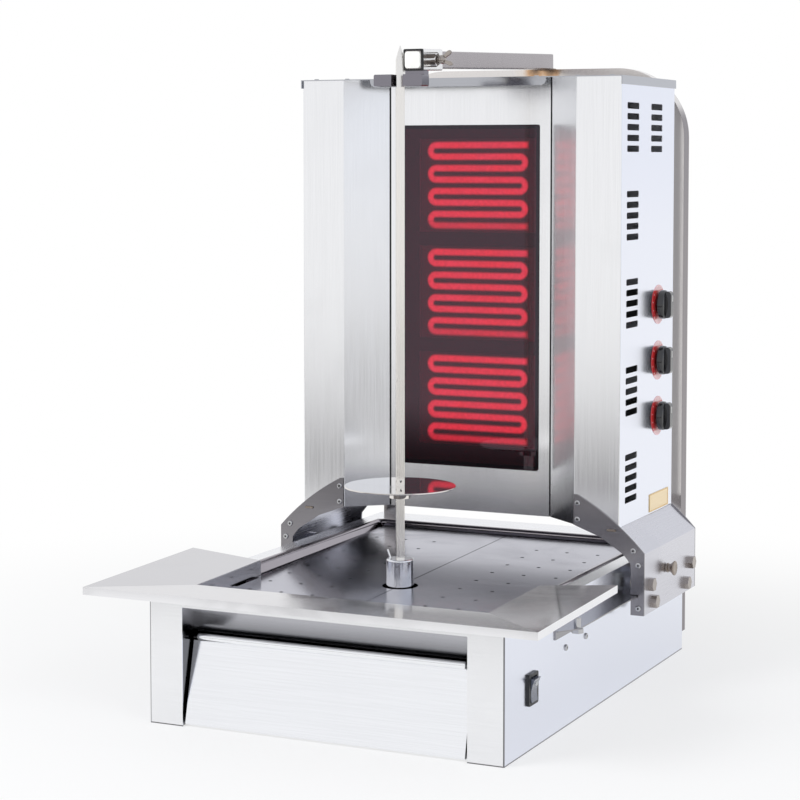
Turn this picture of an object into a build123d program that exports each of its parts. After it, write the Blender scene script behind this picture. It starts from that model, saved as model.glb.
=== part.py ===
from build123d import *
import math
import os

# Vertical kebab grill, millimetres, +Z up. The origin is the middle of the
# base's underside. -Y is the operator's side, where the drawer is. A place is
# a distance back from the base's front face, and fy() turns it into a Y.

# Base
BASE_WIDTH = 450.0
BASE_DEPTH = 632.0
BASE_HEIGHT = 156.0
SHEET = 1.2
FOLD_RADIUS = 0.8
GAP = 0.3
LEDGE_WIDTH = 21.0
FRONT_LEDGE = 33.0
REAR_LEDGE = 57.0
LEDGE_DROP = 7.0
PAN_STEP = 5.0
POST_WIDTH = 44.0
BAY_BAND = 15.3
FLOOR_SETBACK = 30.0
FLOOR_RIM = 14.0
FRONT = -BASE_DEPTH / 2
REAR = BASE_DEPTH / 2
SIDE_X = BASE_WIDTH / 2
INNER_X = SIDE_X - SHEET
BAY_TOP = BASE_HEIGHT - BAY_BAND
BAY_X = SIDE_X - POST_WIDTH

# Drawer
GRIP_DEPTH = 26.0
GRIP_DROP = 32.0
GRIP_SHELF = 16.0
DRAWER_LEAN = 22.0
DRAWER_SIDE_GAP = 3.0
DRAWER_BOTTOM = 2.4
DRAWER_DROP = 42.2
DRAWER_FLANGE = 61.7
CHEEK_DROP = 4.0
CHEEK_SETBACK = 2.7
LIP_RADIUS = 3.4
LIP_INSET = 5.6
LIP_FORWARD = 1.5
TRAY_SIDE_GAP = 10.0
TRAY_START = 38.0
TRAY_BACK_GAP = 72.0
TRAY_HEIGHT = 60.0
TRAY_FLANGE = 10.0
RUNNER_OVERLAP = 6.0
RUNNER_START = 102.0
RAIL_BACK_GAP = 32.0
RUNNER_LEG = 42.0
RUNNER_RIVET_DROP = 62.0
RUNNER_RIVET_PLACES = (188.0, 255.0)
GRIP_HEIGHT = BAY_TOP - GRIP_DROP
DRAWER_TOP = BAY_TOP - DRAWER_DROP
DRAWER_X = BAY_X - DRAWER_SIDE_GAP
TRAY_HALF_WIDTH = DRAWER_X - TRAY_SIDE_GAP
TRAY_END = BASE_DEPTH - TRAY_BACK_GAP
RUNNER_END = BASE_DEPTH - RAIL_BACK_GAP
RUNNER_RIVET_HEIGHT = BASE_HEIGHT - RUNNER_RIVET_DROP

# Outside rails that the burner carriage rolls on
RAIL_REACH = 21.5
RAIL_THICKNESS = 1.5
RAIL_DROP = 35.0
RAIL_LEG = 11.0
RAIL_START = 151.0
RAIL_CHAMFER_X = 17.0
RAIL_CHAMFER_Y = 24.0
STOP_DIAMETER = 8.5
STOP_HEIGHT = 12.0
STOP_INSET = 4.6
STOP_SETBACK = 30.0
STOP_NUT_ACROSS = 13.0
STOP_NUT_THICKNESS = 5.0
RAIL_TOP = BASE_HEIGHT - RAIL_DROP
RAIL_END = BASE_DEPTH - RAIL_BACK_GAP
STOP_PLACE = RAIL_START + STOP_SETBACK

# Drip pan, its loose covers and the apron plate round it
BEAD_RADIUS = 4.5
BEAD_DROP = 2.8
PAN_DEPTH = 22.0
PAN_FLOOR_INSET = 8.0
PAN_SLOPE = 0.0193
PAN_CORNER = 14.0
PAN_SHEET = 1.0
COVER_LIFT = 9.0
COVER_SIDE_GAP = 5.5
COVER_END_GAP = 2.0
COVER_SEAM = 1.2
COVER_HOLE = 5.0
COVER_PITCH_X = 42.5
COVER_FIRST_X = 74.0
COVER_COLUMNS = 3
COVER_PITCH_Y = 50.6
COVER_FIRST_Y = 27.9
COVER_ROWS = 9
COVER_NOTCH_START = 85.5
COVER_NOTCH_LENGTH = 56.0
COVER_NOTCH_DEPTH = 5.0
DRAIN_DIAMETER = 30.0
DRAIN_INSET = 31.5
DRAIN_SETBACK = 28.5
APRON_WIDTH = 96.5
APRON_SIDE_GAP = 12.0
APRON_SETBACK = 12.0
APRON_CLEARANCE = 2.9
APRON_RISE = 6.6
APRON_BACK_RISE = 3.0
APRON_LIP = 9.0
APRON_CURTAIN = 18.4
APRON_FOOT = 14.0
APRON_FOOT_INSET = 6.0
APRON_FOOT_PLACES = (16.0, 176.0)
PAN_X = SIDE_X - LEDGE_WIDTH - BEAD_RADIUS
PAN_START = FRONT_LEDGE + BEAD_RADIUS
PAN_END = BASE_DEPTH - REAR_LEDGE - BEAD_RADIUS
BEAD_HEIGHT = BASE_HEIGHT - BEAD_DROP
PAN_LOW = BEAD_HEIGHT - PAN_DEPTH
FLOOR_X = PAN_X - PAN_FLOOR_INSET
FLOOR_START = PAN_START + PAN_FLOOR_INSET
FLOOR_END = PAN_END - PAN_FLOOR_INSET
APRON_INNER_X = PAN_X - APRON_SIDE_GAP
APRON_INNER_START = FRONT_LEDGE + APRON_SETBACK
APRON_INNER_HEIGHT = BASE_HEIGHT + APRON_CLEARANCE

# Support frame, and the heights and places that follow from its top
FRAME_SIDE_INSET = 3.0
FRAME_TOP = 784.5
FRAME_FOOT = 22.0
FRAME_WIDTH = 20.0
FRAME_DEPTH = 22.0
FRAME_WALL = 1.5
FRAME_BEND = 74.0
FRAME_BOLT_HEIGHTS = (46.0, 132.0)
FRAME_BOLT_ACROSS = 13.0
FRAME_BOLT_THICKNESS = 5.3
HEAD_TOP_DROP = 20.2
HEAD_CLEARANCE = 48.0
HEAD_DEPTH = 209.0
HEAD_REAR_GAP = 39.4
SPINDLE_TO_HEAD = 170.6
FRAME_HALF_WIDTH = SIDE_X - FRAME_SIDE_INSET
HEAD_TOP = FRAME_TOP - HEAD_TOP_DROP
HEAD_BOTTOM = BASE_HEIGHT + HEAD_CLEARANCE
HEAD_START = BASE_DEPTH - HEAD_REAR_GAP - HEAD_DEPTH
HEAD_END = HEAD_START + HEAD_DEPTH
SPINDLE_PLACE = HEAD_START - SPINDLE_TO_HEAD
SPINDLE_Y = FRONT + SPINDLE_PLACE
APRON_END = SPINDLE_PLACE - 13.0

# Spindle, skewer and drive
COLLAR_DIAMETER = 34.0
COLLAR_RISE = 21.0
COLLAR_HOLE = 44.0
COLLAR_SKIRT = 2.0
PAN_HOLE = 38.0
PAN_HOLE_RIM = 6.0
SHAFT_DIAMETER = 17.0
SHAFT_RUNNING = 0.05
SHAFT_CLEARANCE = 0.6
SKEWER_SIDE = 10.0
SKEWER_TURN = 33.0
SKEWER_DEPTH = 27.0
SKEWER_PAST_ARM = 13.5
SPEAR_LENGTH = 49.4
SPEAR_NOSE = 0.33
SPEAR_THIN = 5.5
SOCKET_FIT = 0.1
DISC_DIAMETER = 136.0
DISC_THICKNESS = 2.0
DISC_RISE = 108.5
DISC_FIT = 0.15
DISC_PIN_RISE = 8.0
DISC_PIN_DIAMETER = 2.8
HUB_DIAMETER = 26.0
HUB_HEIGHT = 13.0
DISC_SCREW_DIAMETER = 6.0
DISC_SCREW_FIT = 0.05
DISC_SCREW_HEAD = 9.2
DISC_SCREW_HEAD_LENGTH = 4.0
DISC_SCREW_PROUD = 5.0
LOCK_PIN_DIAMETER = 2.6
LOCK_PIN_LENGTH = 11.0
LOCK_PIN_LEAN = 22.0
LOCK_PIN_INSET = 2.0
LOCK_PIN_SEAT = 0.9
GEARBOX_SIZE = (72.0, 84.0, 40.0)
GEARBOX_CORNER = 6.0
MOTOR_DIAMETER = 52.0
MOTOR_LENGTH = 96.0
MOTOR_TOP_GAP = 1.0
MOTOR_GROOVES = 6
MOTOR_GROOVE_PITCH = 9.0
CROSS_DROP = 28.0
CROSS_THICKNESS = 2.5
CROSS_WIDTH = 96.0
CROSS_LEG = 22.0
BEARING_DIAMETER = 35.0
BEARING_WIDTH = 9.0
CROSS_TOP = BASE_HEIGHT - CROSS_DROP
COLLAR_TOP = BASE_HEIGHT + COLLAR_RISE
SKEWER_SEAT = COLLAR_TOP - SKEWER_DEPTH
SKEWER_TIP = FRAME_TOP + SKEWER_PAST_ARM
SKEWER_SHOULDER = SKEWER_TIP - SPEAR_LENGTH
DISC_HEIGHT = BASE_HEIGHT + DISC_RISE

# Burner head
HEAD_HALF_WIDTH = 221.5
HEAD_RETURN = 16.0
FLANGE_WIDTH = 59.8
REFLECTOR_WIDTH = 48.2
RECESS_DEPTH = 40.7
RECESS_RETURN = 12.0
PANEL_GAP = 1.2
LID_DROP = 11.0
LID_APRON_GAP = 39.7
LID_APRON_RADIUS = 8.0
LID_OVERHANG = 2.6
LID_SCREW_DIAMETER = 6.4
LID_SCREW_HEIGHT = 1.4
LID_SCREW_INSETS = (16.5, 61.5, 116.5)
LID_SCREW_SETBACK = 8.0
GLASS_WIDTH = 194.0
GLASS_RISE = 58.0
GLASS_HEIGHT = 444.0
GLASS_THICKNESS = 4.0
GLASS_PROUD = 0.8
GLASS_CORNER = 4.0
GLASS_GAP = 0.4
GLASS_LAP = 5.0
GLASS_FRAME_MARGIN = 16.0
ZONE_RISES = (366.0, 227.0, 88.0)
ZONE_LEFT = -62.0
ZONE_RIGHT = 81.0
ZONE_RUNS = 8
ZONE_PITCH = 14.9
RIBBON_WIDTH = 9.4
RIBBON_THICKNESS = 1.0
RIBBON_GAP = 0.4
BOARD_THICKNESS = 18.0
BOARD_MARGIN = 9.0
BOARD_EDGE = 6.0
TRAY_SHEET = 1.0
RACK_PLACES = (-40.0, 60.0)
RACK_WIDTH = 24.0
RACK_DEPTH = 14.0
VENT_LENGTH = 45.0
VENT_HEIGHT = 8.0
VENT_CORNER = 2.4
VENT_PITCH = 13.4
VENT_COUNT = 5
VENT_SETBACKS = (42.4, 134.9)
VENT_DROPS = (35.6, 145.7, 255.7, 366.0, 475.9)
REAR_VENT_PLACES = (-100.0, 0.0, 100.0)
PLATE_SIZE = (76.0, 23.0)
PLATE_THICKNESS = 0.5
PLATE_CORNER = 1.5
PLATE_SETBACK = 153.4
PLATE_RISE = 13.5
FLANGE_INNER_X = HEAD_HALF_WIDTH - FLANGE_WIDTH
RECESS_HALF_WIDTH = FLANGE_INNER_X - REFLECTOR_WIDTH
RECESS_START = HEAD_START + RECESS_DEPTH
LID_TOP = HEAD_TOP + SHEET
LID_APRON_HALF = FLANGE_INNER_X - LID_APRON_GAP
GLASS_BOTTOM = HEAD_BOTTOM + GLASS_RISE
GLASS_TOP = GLASS_BOTTOM + GLASS_HEIGHT
GLASS_BACK = RECESS_START - GLASS_PROUD + GLASS_THICKNESS
ZONE_HEIGHTS = [GLASS_BOTTOM + rise for rise in ZONE_RISES]
VENT_PLACES = [HEAD_START + setback for setback in VENT_SETBACKS]
VENT_TOPS = [HEAD_TOP - drop for drop in VENT_DROPS]

# Control knobs
KNOB_NAMES = ("control_knob_upper", "control_knob_middle", "control_knob_lower")
KNOB_SETBACK = 146.4
KNOB_RISES = (270.0, 197.5, 125.0)
KNOB_DIAMETER = 38.0
KNOB_SKIRT = 5.0
KNOB_STEP = 2.5
KNOB_STANDOFF = 3.5
KNOB_LENGTH = 16.0
KNOB_GRIP = 12.0
DIAL_DIAMETER = 51.0
DIAL_THICKNESS = 0.6
KNOB_SHAFT = 6.0
KNOB_SHAFT_FIT = 0.05
KNOB_SHAFT_REACH = 18.0
SHAFT_HOLE_GAP = 1.5
REGULATOR_SIZE = (34.0, 44.0, 40.0)
KNOB_PLACE = HEAD_START + KNOB_SETBACK
KNOB_HEIGHTS = [HEAD_BOTTOM + rise for rise in KNOB_RISES]

# Carriage under the burner head
CARRIAGE_REACH = 30.0
CARRIAGE_SHEET = 1.5
CARRIAGE_FLANGE = 14.0
CARRIAGE_SHOULDER_DROP = 30.0
CARRIAGE_SKIRT = 78.0
CARRIAGE_LENGTH = 205.7
BRACKET_THICKNESS = 2.5
BRACKET_LEG = 17.3
BRACKET_RAIL_GAP = 1.0
BRACKET_HORN = 4.1
BRACKET_HORN_RISE = 38.7
BRACKET_ELBOW = ((39.0, 13.6), (9.7, 33.0), (0.7, 44.0), (0.0, 54.0))
BRACKET_BULGE = (41.0, 38.0)
BRACKET_SLOT = (13.0, 3.2)
BRACKET_SLOT_PLACE = (43.0, 26.4)
ROLLER_NAMES = ("rollers_upper_front", "rollers_upper_rear", "rollers_lower_front", "rollers_lower_rear")
ROLLER_DIAMETER = 22.0
ROLLER_WIDTH = 7.0
ROLLER_BORE = 8.1
ROLLER_GAP = 0.2
ROLLER_INSET = 15.0
UPPER_ROLLER_SETBACKS = (20.4, 184.4)
LOWER_ROLLER_SETBACKS = (33.9, 165.4)
BOLT_DIAMETER = 8.0
BOLT_FIT = 0.08
BOLT_SHOULDER = 12.4
BOLT_END = 2.0
HEX_ACROSS = 15.0
HEX_THICKNESS = 6.5
CLAMP_SETBACK = 85.9
CLAMP_DROP = 62.0
CLAMP_FACE = 24.0
CLAMP_NECK = 13.0
CLAMP_FLANGE = 17.0
CLAMP_LENGTH = 17.0
CLAMP_STANDOFF = 3.5
RIVET_DIAMETER = 7.5
RIVET_HEAD = 2.0
BRACKET_RIVETS = ((88.2, 27.8), (88.1, 7.2), (14.1, -27.2), (7.5, -45.1), (7.2, -99.0))
CARRIAGE_X = SIDE_X + CARRIAGE_REACH
CARRIAGE_SHOULDER = HEAD_BOTTOM - CARRIAGE_SHOULDER_DROP
CARRIAGE_BOTTOM = CARRIAGE_SHOULDER - CARRIAGE_SKIRT
BRACKET_LEG_X = CARRIAGE_X - BRACKET_LEG
ROLLER_X = CARRIAGE_X - ROLLER_INSET
CLAMP_PLACE = HEAD_START + CLAMP_SETBACK
CLAMP_HEIGHT = HEAD_BOTTOM - CLAMP_DROP

# The arm and the sliding holder of the skewer's top
ARM_SIDE = 21.0
ARM_WALL = 1.5
ARM_CENTRE_X = 19.5
ARM_OVERHANG = 5.0
ARM_PAST_FRAME = 13.0
ARM_TILT = 1.95
ARM_CORNER = 1.8
CAP_THICKNESS = 2.5
CAP_REACH = 10.0
SLEEVE_WALL = 2.0
SLEEVE_FIT = 0.5
SLEEVE_OVERHANG = 3.0
SLEEVE_LENGTH = 55.0
LINER_THICKNESS = 1.5
GUIDE_LEFT = -31.0
GUIDE_RIGHT = 33.0
GUIDE_OVERHANG = 9.0
GUIDE_DEPTH = 20.0
GUIDE_DROP = 35.0
GUIDE_HEIGHT = 14.0
GUIDE_WALL = 2.0
GUIDE_SLOT_GAP = 2.7
GUIDE_SLOT_DEPTH = 17.0
WING_SETBACK = 16.0
WING_NUT_ACROSS = 15.0
WING_NUT_THICKNESS = 10.0
WING_BOLT_DIAMETER = 8.0
WING_BOLT_NECK = 7.0
WING_HUB_DIAMETER = 10.4
WING_HUB_LENGTH = 9.0
WING_BLADE = (13.0, 3.0, 16.0)
WING_LEAN = 28.0
ARM_START = SPINDLE_PLACE - ARM_OVERHANG
ARM_END = BASE_DEPTH + ARM_PAST_FRAME
SLEEVE_START = SPINDLE_PLACE - SLEEVE_OVERHANG
SLEEVE_SIDE = ARM_SIDE + 2 * (SLEEVE_FIT + SLEEVE_WALL)
GUIDE_START = SPINDLE_PLACE - GUIDE_OVERHANG
GUIDE_BOTTOM = FRAME_TOP - GUIDE_DROP
GUIDE_SLOT = SKEWER_SIDE + 2 * GUIDE_SLOT_GAP
WING_PLACE = SPINDLE_PLACE + WING_SETBACK

# Rocker switch
SWITCH_PLACE = 80.0
SWITCH_DROP = 86.0
BEZEL_SIZE = (28.0, 36.0)
BEZEL_PROUD = 3.0
BEZEL_CORNER = 2.0
ROCKER_SIZE = (18.0, 27.0)
ROCKER_PROUD = 3.2
ROCKER_DISH = 2.6
ROCKER_GAP = (0.4, 0.9)
SWITCH_DEPTH = 24.0
WELL_DEPTH = 9.0
ROCKER_TILT = 8.0
PIVOT_RADIUS = 1.5
PIVOT_FIT = 0.06
PIVOT_REACH = 2.0
SWITCH_HEIGHT = BASE_HEIGHT - SWITCH_DROP

# Mains entry on the rear panel
GLAND_X = -150.0
GLAND_DROP = 48.0
GLAND_BORE = 9.0
GLAND_THREAD = 16.0
GLAND_FIT = 0.15
GLAND_ACROSS = 22.0
GLAND_NUT = 5.0
GLAND_NOSE = 12.0
TERMINAL_SIZE = (64.0, 20.0, 20.0)
TERMINAL_GAP = 30.0
TERMINAL_PITCH = 12.5
TERMINAL_POCKET = (8.0, 6.0, 12.0)
TERMINAL_COUNT = 5
GLAND_HEIGHT = BASE_HEIGHT - GLAND_DROP


def fy(place):
    """Y of a place measured back from the base's front face."""
    return FRONT + place


def box(x0, x1, y0, y1, z0, z1):
    return Pos((x0 + x1) / 2, (y0 + y1) / 2, (z0 + z1) / 2) * Box(abs(x1 - x0), abs(y1 - y0), abs(z1 - z0))


def rod_x(radius, x0, x1, y, z):
    return Pos((x0 + x1) / 2, y, z) * Rot(0, 90, 0) * Cylinder(radius, abs(x1 - x0))


def rod_y(radius, y0, y1, x, z):
    return Pos(x, (y0 + y1) / 2, z) * Rot(90, 0, 0) * Cylinder(radius, abs(y1 - y0))


def rod_z(radius, z0, z1, x, y):
    return Pos(x, y, (z0 + z1) / 2) * Cylinder(radius, abs(z1 - z0))


def hex_x(across, x0, x1, y, z):
    blank = RegularPolygon(across / 2, 6, major_radius=False)
    return extrude(Plane((min(x0, x1), y, z), x_dir=(0, 1, 0), z_dir=(1, 0, 0)) * blank, abs(x1 - x0))


def hex_y(across, y0, y1, x, z):
    blank = RegularPolygon(across / 2, 6, major_radius=False)
    return extrude(Plane((x, min(y0, y1), z), x_dir=(1, 0, 0), z_dir=(0, 1, 0)) * blank, abs(y1 - y0))


def mirrored(shape):
    return mirror(shape, Plane.YZ)


def both_sides(shape):
    return Compound(children=[shape, mirrored(shape)])


def group(pieces):
    return Compound(children=list(pieces))


def shifted(points, distance):
    """The run of points moved sideways to its left by a distance, with mitred corners."""
    moved = []
    last = len(points) - 1
    for index, (x, y) in enumerate(points):
        before = points[max(index - 1, 0)]
        after = points[min(index + 1, last)]
        if index == 0:
            before = (2 * x - after[0], 2 * y - after[1])
        if index == last:
            after = (2 * x - before[0], 2 * y - before[1])
        a1 = math.atan2(y - before[1], x - before[0])
        a2 = math.atan2(after[1] - y, after[0] - x)
        half = (a2 - a1) / 2
        reach = distance / math.cos(half)
        middle = a1 + half + math.pi / 2
        moved.append((x + reach * math.cos(middle), y + reach * math.sin(middle)))
    return moved


def turn_at(points, index):
    (x0, y0), (x1, y1), (x2, y2) = points[index - 1:index + 2]
    return (x1 - x0) * (y2 - y1) - (y1 - y0) * (x2 - x1)


def run_edges(points, radii):
    if len(points) == 2:
        return [Line(*points)]
    return FilletPolyline(*points, radius=radii).edges()


def sheet_face(points, thickness, bend=FOLD_RADIUS):
    """A bent strip: one face on the points, the other to the left of the run, or right if negative."""
    wide = bend + abs(thickness)
    outside = [(turn_at(points, i) > 0) == (thickness > 0) for i in range(1, len(points) - 1)]
    near = [wide if out else bend for out in outside]
    far = [bend if out else wide for out in outside]
    other = shifted(points, thickness)
    edges = list(run_edges(points, near)) + [Line(points[-1], other[-1])]
    edges += list(run_edges(other, far)) + [Line(other[0], points[0])]
    return make_face(edges)


def bent_along_z(points, thickness, z0, z1, bend=FOLD_RADIUS):
    return extrude(Pos(0, 0, z0) * sheet_face(points, thickness, bend), z1 - z0)


def bent_along_x(points, thickness, x0, x1, bend=FOLD_RADIUS):
    return extrude(Plane.YZ.offset(x0) * sheet_face(points, thickness, bend), x1 - x0)


def bent_along_y(points, thickness, y0, y1, bend=FOLD_RADIUS):
    return extrude(Plane.XZ.offset(-y0) * sheet_face(points, thickness, bend), y1 - y0, dir=(0, 1, 0))


def plate_yz(points, x0, x1):
    return extrude(Plane.YZ.offset(x0) * make_face(Polyline(*points, close=True)), x1 - x0)


def slab(corners, thickness):
    """A flat sheet on its corners in space, thickened straight down."""
    return extrude(make_face(Polyline(*corners, close=True)), thickness, dir=(0, 0, -1))


def rivet_x(x, y, z):
    """A round head on a side wall, with the dimple of a pulled rivet."""
    head = rod_x(RIVET_DIAMETER / 2, x, x + RIVET_HEAD, y, z)
    rim = head.edges().filter_by(GeomType.CIRCLE).sort_by(Axis.X)[-1]
    dimple = rod_x(RIVET_DIAMETER * 0.18, x + RIVET_HEAD * 0.4, x + RIVET_HEAD, y, z)
    return fillet(rim, RIVET_HEAD * 0.7) - dimple


def rivet_y(x, y, z):
    """The same head standing forward of a front face."""
    head = rod_y(RIVET_DIAMETER / 2, y - RIVET_HEAD, y, x, z)
    rim = head.edges().filter_by(GeomType.CIRCLE).sort_by(Axis.Y)[0]
    dimple = rod_y(RIVET_DIAMETER * 0.18, y - RIVET_HEAD, y - RIVET_HEAD * 0.4, x, z)
    return fillet(rim, RIVET_HEAD * 0.7) - dimple


def floor_height(y):
    """Height of the drip pan's sloped inner floor at a Y."""
    return PAN_LOW + PAN_SLOPE * (y - fy(FLOOR_START))


def cover_height(y):
    return floor_height(y) + COVER_LIFT


# Base

def base_shell():
    top = BASE_HEIGHT - SHEET
    low = top - LEDGE_DROP
    ledge_x = SIDE_X - LEDGE_WIDTH
    wall_x = ledge_x + SHEET
    well_y0, well_y1 = fy(FRONT_LEDGE), REAR - REAR_LEDGE
    half = box(INNER_X, SIDE_X, FRONT, REAR, 0, BASE_HEIGHT)
    half += box(BAY_X, SIDE_X, FRONT, FRONT + SHEET, 0, BASE_HEIGHT)
    half += box(ledge_x, SIDE_X, FRONT, REAR, top, BASE_HEIGHT)
    half += box(ledge_x, wall_x, well_y0, well_y1, low, top)
    half += box(ledge_x - PAN_STEP, wall_x, well_y0, well_y1, low - SHEET, low)
    shell = half + mirrored(half)
    shell += box(-SIDE_X, SIDE_X, FRONT, FRONT + SHEET, BAY_TOP, BASE_HEIGHT)
    shell += box(-SIDE_X, SIDE_X, FRONT, well_y0, top, BASE_HEIGHT)
    shell += box(-SIDE_X, SIDE_X, well_y1, REAR, top, BASE_HEIGHT)
    shell += box(-wall_x, wall_x, well_y0 - SHEET, well_y0, low - SHEET, top)
    shell += box(-wall_x, wall_x, well_y1, well_y1 + SHEET, low - SHEET, top)
    corners = shell.edges().filter_by(Axis.Z).filter_by(
        lambda e: abs(abs(e.center().X) - SIDE_X) < 0.01 and abs(e.center().Y - FRONT) < 0.01)
    shell = fillet(corners, SHEET * 0.8)
    half_y, half_z = BEZEL_SIZE[0] / 2 - SHEET, BEZEL_SIZE[1] / 2 - SHEET
    y, z = fy(SWITCH_PLACE), SWITCH_HEIGHT
    return shell - box(INNER_X - SHEET, SIDE_X + SHEET, y - half_y, y + half_y, z - half_z, z + half_z)


def base_floor():
    y0, y1 = fy(FLOOR_SETBACK), REAR - SHEET
    plate = box(-INNER_X, INNER_X, y0, y1, 0, SHEET)
    rim = box(INNER_X - SHEET, INNER_X, y0, y1, SHEET, FLOOR_RIM)
    return plate + rim + mirrored(rim)


def base_rear_panel():
    panel = box(-INNER_X, INNER_X, REAR - SHEET, REAR, SHEET, BASE_HEIGHT - SHEET)
    return panel - rod_y(GLAND_THREAD / 2 + GLAND_FIT, REAR - 2 * SHEET, REAR + SHEET, GLAND_X, GLAND_HEIGHT)


def cable_gland():
    inside = REAR - SHEET - GLAND_NUT
    nose = REAR + GLAND_NUT
    body = rod_y(GLAND_THREAD / 2, inside - GLAND_NUT, nose, GLAND_X, GLAND_HEIGHT)
    body += hex_y(GLAND_ACROSS, inside, REAR - SHEET, GLAND_X, GLAND_HEIGHT)
    body += hex_y(GLAND_ACROSS, REAR, nose, GLAND_X, GLAND_HEIGHT)
    dome = Cone(GLAND_ACROSS * 0.43, GLAND_ACROSS * 0.32, GLAND_NOSE)
    body += Pos(GLAND_X, nose + GLAND_NOSE / 2, GLAND_HEIGHT) * Rot(-90, 0, 0) * dome
    return body - rod_y(GLAND_BORE / 2, inside - 2 * GLAND_NUT, nose + 2 * GLAND_NOSE, GLAND_X, GLAND_HEIGHT)


def terminal_block():
    w, d, h = TERMINAL_SIZE
    y = REAR - SHEET
    x0 = GLAND_X + TERMINAL_GAP
    block = box(x0, x0 + w, y - d, y, GLAND_HEIGHT - h / 2, GLAND_HEIGHT + h / 2)
    pw, pd, ph = TERMINAL_POCKET
    middle = (TERMINAL_COUNT - 1) / 2
    for k in range(TERMINAL_COUNT):
        x = x0 + w / 2 + TERMINAL_PITCH * (k - middle)
        block -= box(x - pw / 2, x + pw / 2, y - d, y - d + pd, GLAND_HEIGHT - ph / 2, GLAND_HEIGHT + ph / 2)
    return block


def drawer_bay_lining():
    """Slanted hood over the grip opening, and the cheeks beside the drawer."""
    start = FRONT + SHEET
    shelf_y, end_y = fy(GRIP_DEPTH), fy(GRIP_DEPTH + GRIP_SHELF)
    outline = [(start, BAY_TOP), (shelf_y, GRIP_HEIGHT), (end_y, GRIP_HEIGHT)]
    lining = bent_along_x(outline, SHEET, -BAY_X, BAY_X)
    cheek = box(BAY_X, BAY_X + SHEET, start, end_y, SHEET, BAY_TOP)
    return lining + cheek + mirrored(cheek)


def drawer_runners():
    shelf_x = TRAY_HALF_WIDTH + TRAY_FLANGE - RUNNER_OVERLAP
    low = DRAWER_BOTTOM + TRAY_HEIGHT - GAP - SHEET
    outline = [(shelf_x, low), (INNER_X, low), (INNER_X, low + RUNNER_LEG)]
    return both_sides(bent_along_y(outline, SHEET, fy(RUNNER_START), fy(RUNNER_END)))


def carriage_rails():
    bottom = RAIL_TOP - RAIL_THICKNESS
    y0, y1 = fy(RAIL_START), fy(RAIL_END)
    outer = SIDE_X + RAIL_REACH
    rail = box(SIDE_X, outer, y0, y1, bottom, RAIL_TOP)
    rail += box(SIDE_X, SIDE_X + RAIL_THICKNESS, y0, y1, RAIL_TOP - RAIL_LEG, bottom)
    corner = [(outer - RAIL_CHAMFER_X, y0), (outer, y0), (outer, y0 + RAIL_CHAMFER_Y)]
    cut = make_face(Polyline(*corner, close=True))
    return both_sides(rail - extrude(Pos(0, 0, bottom) * cut, RAIL_THICKNESS))


def rail_stop_pins():
    x, y = SIDE_X + RAIL_REACH - STOP_INSET, fy(STOP_PLACE)
    pin = rod_z(STOP_DIAMETER / 2, RAIL_TOP, RAIL_TOP + STOP_HEIGHT, x, y)
    pin = chamfer(pin.edges().group_by(Axis.Z)[-1], 0.8)
    blank = RegularPolygon(STOP_NUT_ACROSS / 2, 6, major_radius=False)
    nut = extrude(Pos(x, y, RAIL_TOP - RAIL_THICKNESS) * blank, -STOP_NUT_THICKNESS)
    return [pin, nut]


def base_fixings():
    """Runner rivets, the rails' stop pins and the support frame's bolts."""
    rivets = [rivet_x(SIDE_X, fy(place), RUNNER_RIVET_HEIGHT) for place in RUNNER_RIVET_PLACES]
    start = REAR + FRAME_DEPTH
    x = FRAME_HALF_WIDTH - FRAME_WIDTH / 2
    bolts = [hex_y(FRAME_BOLT_ACROSS, start, start + FRAME_BOLT_THICKNESS, x, z) for z in FRAME_BOLT_HEIGHTS]
    return both_sides(group(rivets + rail_stop_pins() + bolts))


# Drawer

def drawer_front():
    low, high = DRAWER_BOTTOM, DRAWER_TOP
    face = [(fy(DRAWER_FLANGE), low), (FRONT + GAP, low), (fy(DRAWER_LEAN), high)]
    front = bent_along_x(face, -SHEET, -DRAWER_X, DRAWER_X)
    back = fy(TRAY_START - SHEET)
    top = high - CHEEK_DROP
    outline = [(FRONT + CHEEK_SETBACK, low), (back, low), (back, top), (fy(DRAWER_LEAN), top)]
    cheek = plate_yz(outline, DRAWER_X - SHEET, DRAWER_X)
    return front + cheek + mirrored(cheek)


def drawer_handle():
    half = DRAWER_X - LIP_INSET
    bar = rod_x(LIP_RADIUS, -half, half, fy(DRAWER_LEAN - LIP_FORWARD), DRAWER_TOP + LIP_RADIUS)
    return fillet(bar.edges().filter_by(GeomType.CIRCLE), LIP_RADIUS * 0.8)


def drawer_tray():
    x, t = TRAY_HALF_WIDTH, PAN_SHEET
    y0, y1 = fy(TRAY_START), fy(TRAY_END)
    z0 = DRAWER_BOTTOM + SHEET
    z1 = DRAWER_BOTTOM + TRAY_HEIGHT + t
    tray = box(-x, x, y0, y1, z0, z1) - box(t - x, x - t, y0 + t, y1 - t, z0 + t, z1)
    flange = box(x, x + TRAY_FLANGE, y0, y1, z1 - t, z1)
    return tray + flange + mirrored(flange)


# Drip pan, covers and apron

def level_frame(half_x, y0, y1, height):
    corners = [(-half_x, y0), (half_x, y0), (half_x, y1), (-half_x, y1)]
    return make_face(Polyline(*[(x, y, height(y)) for x, y in corners], close=True))


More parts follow.
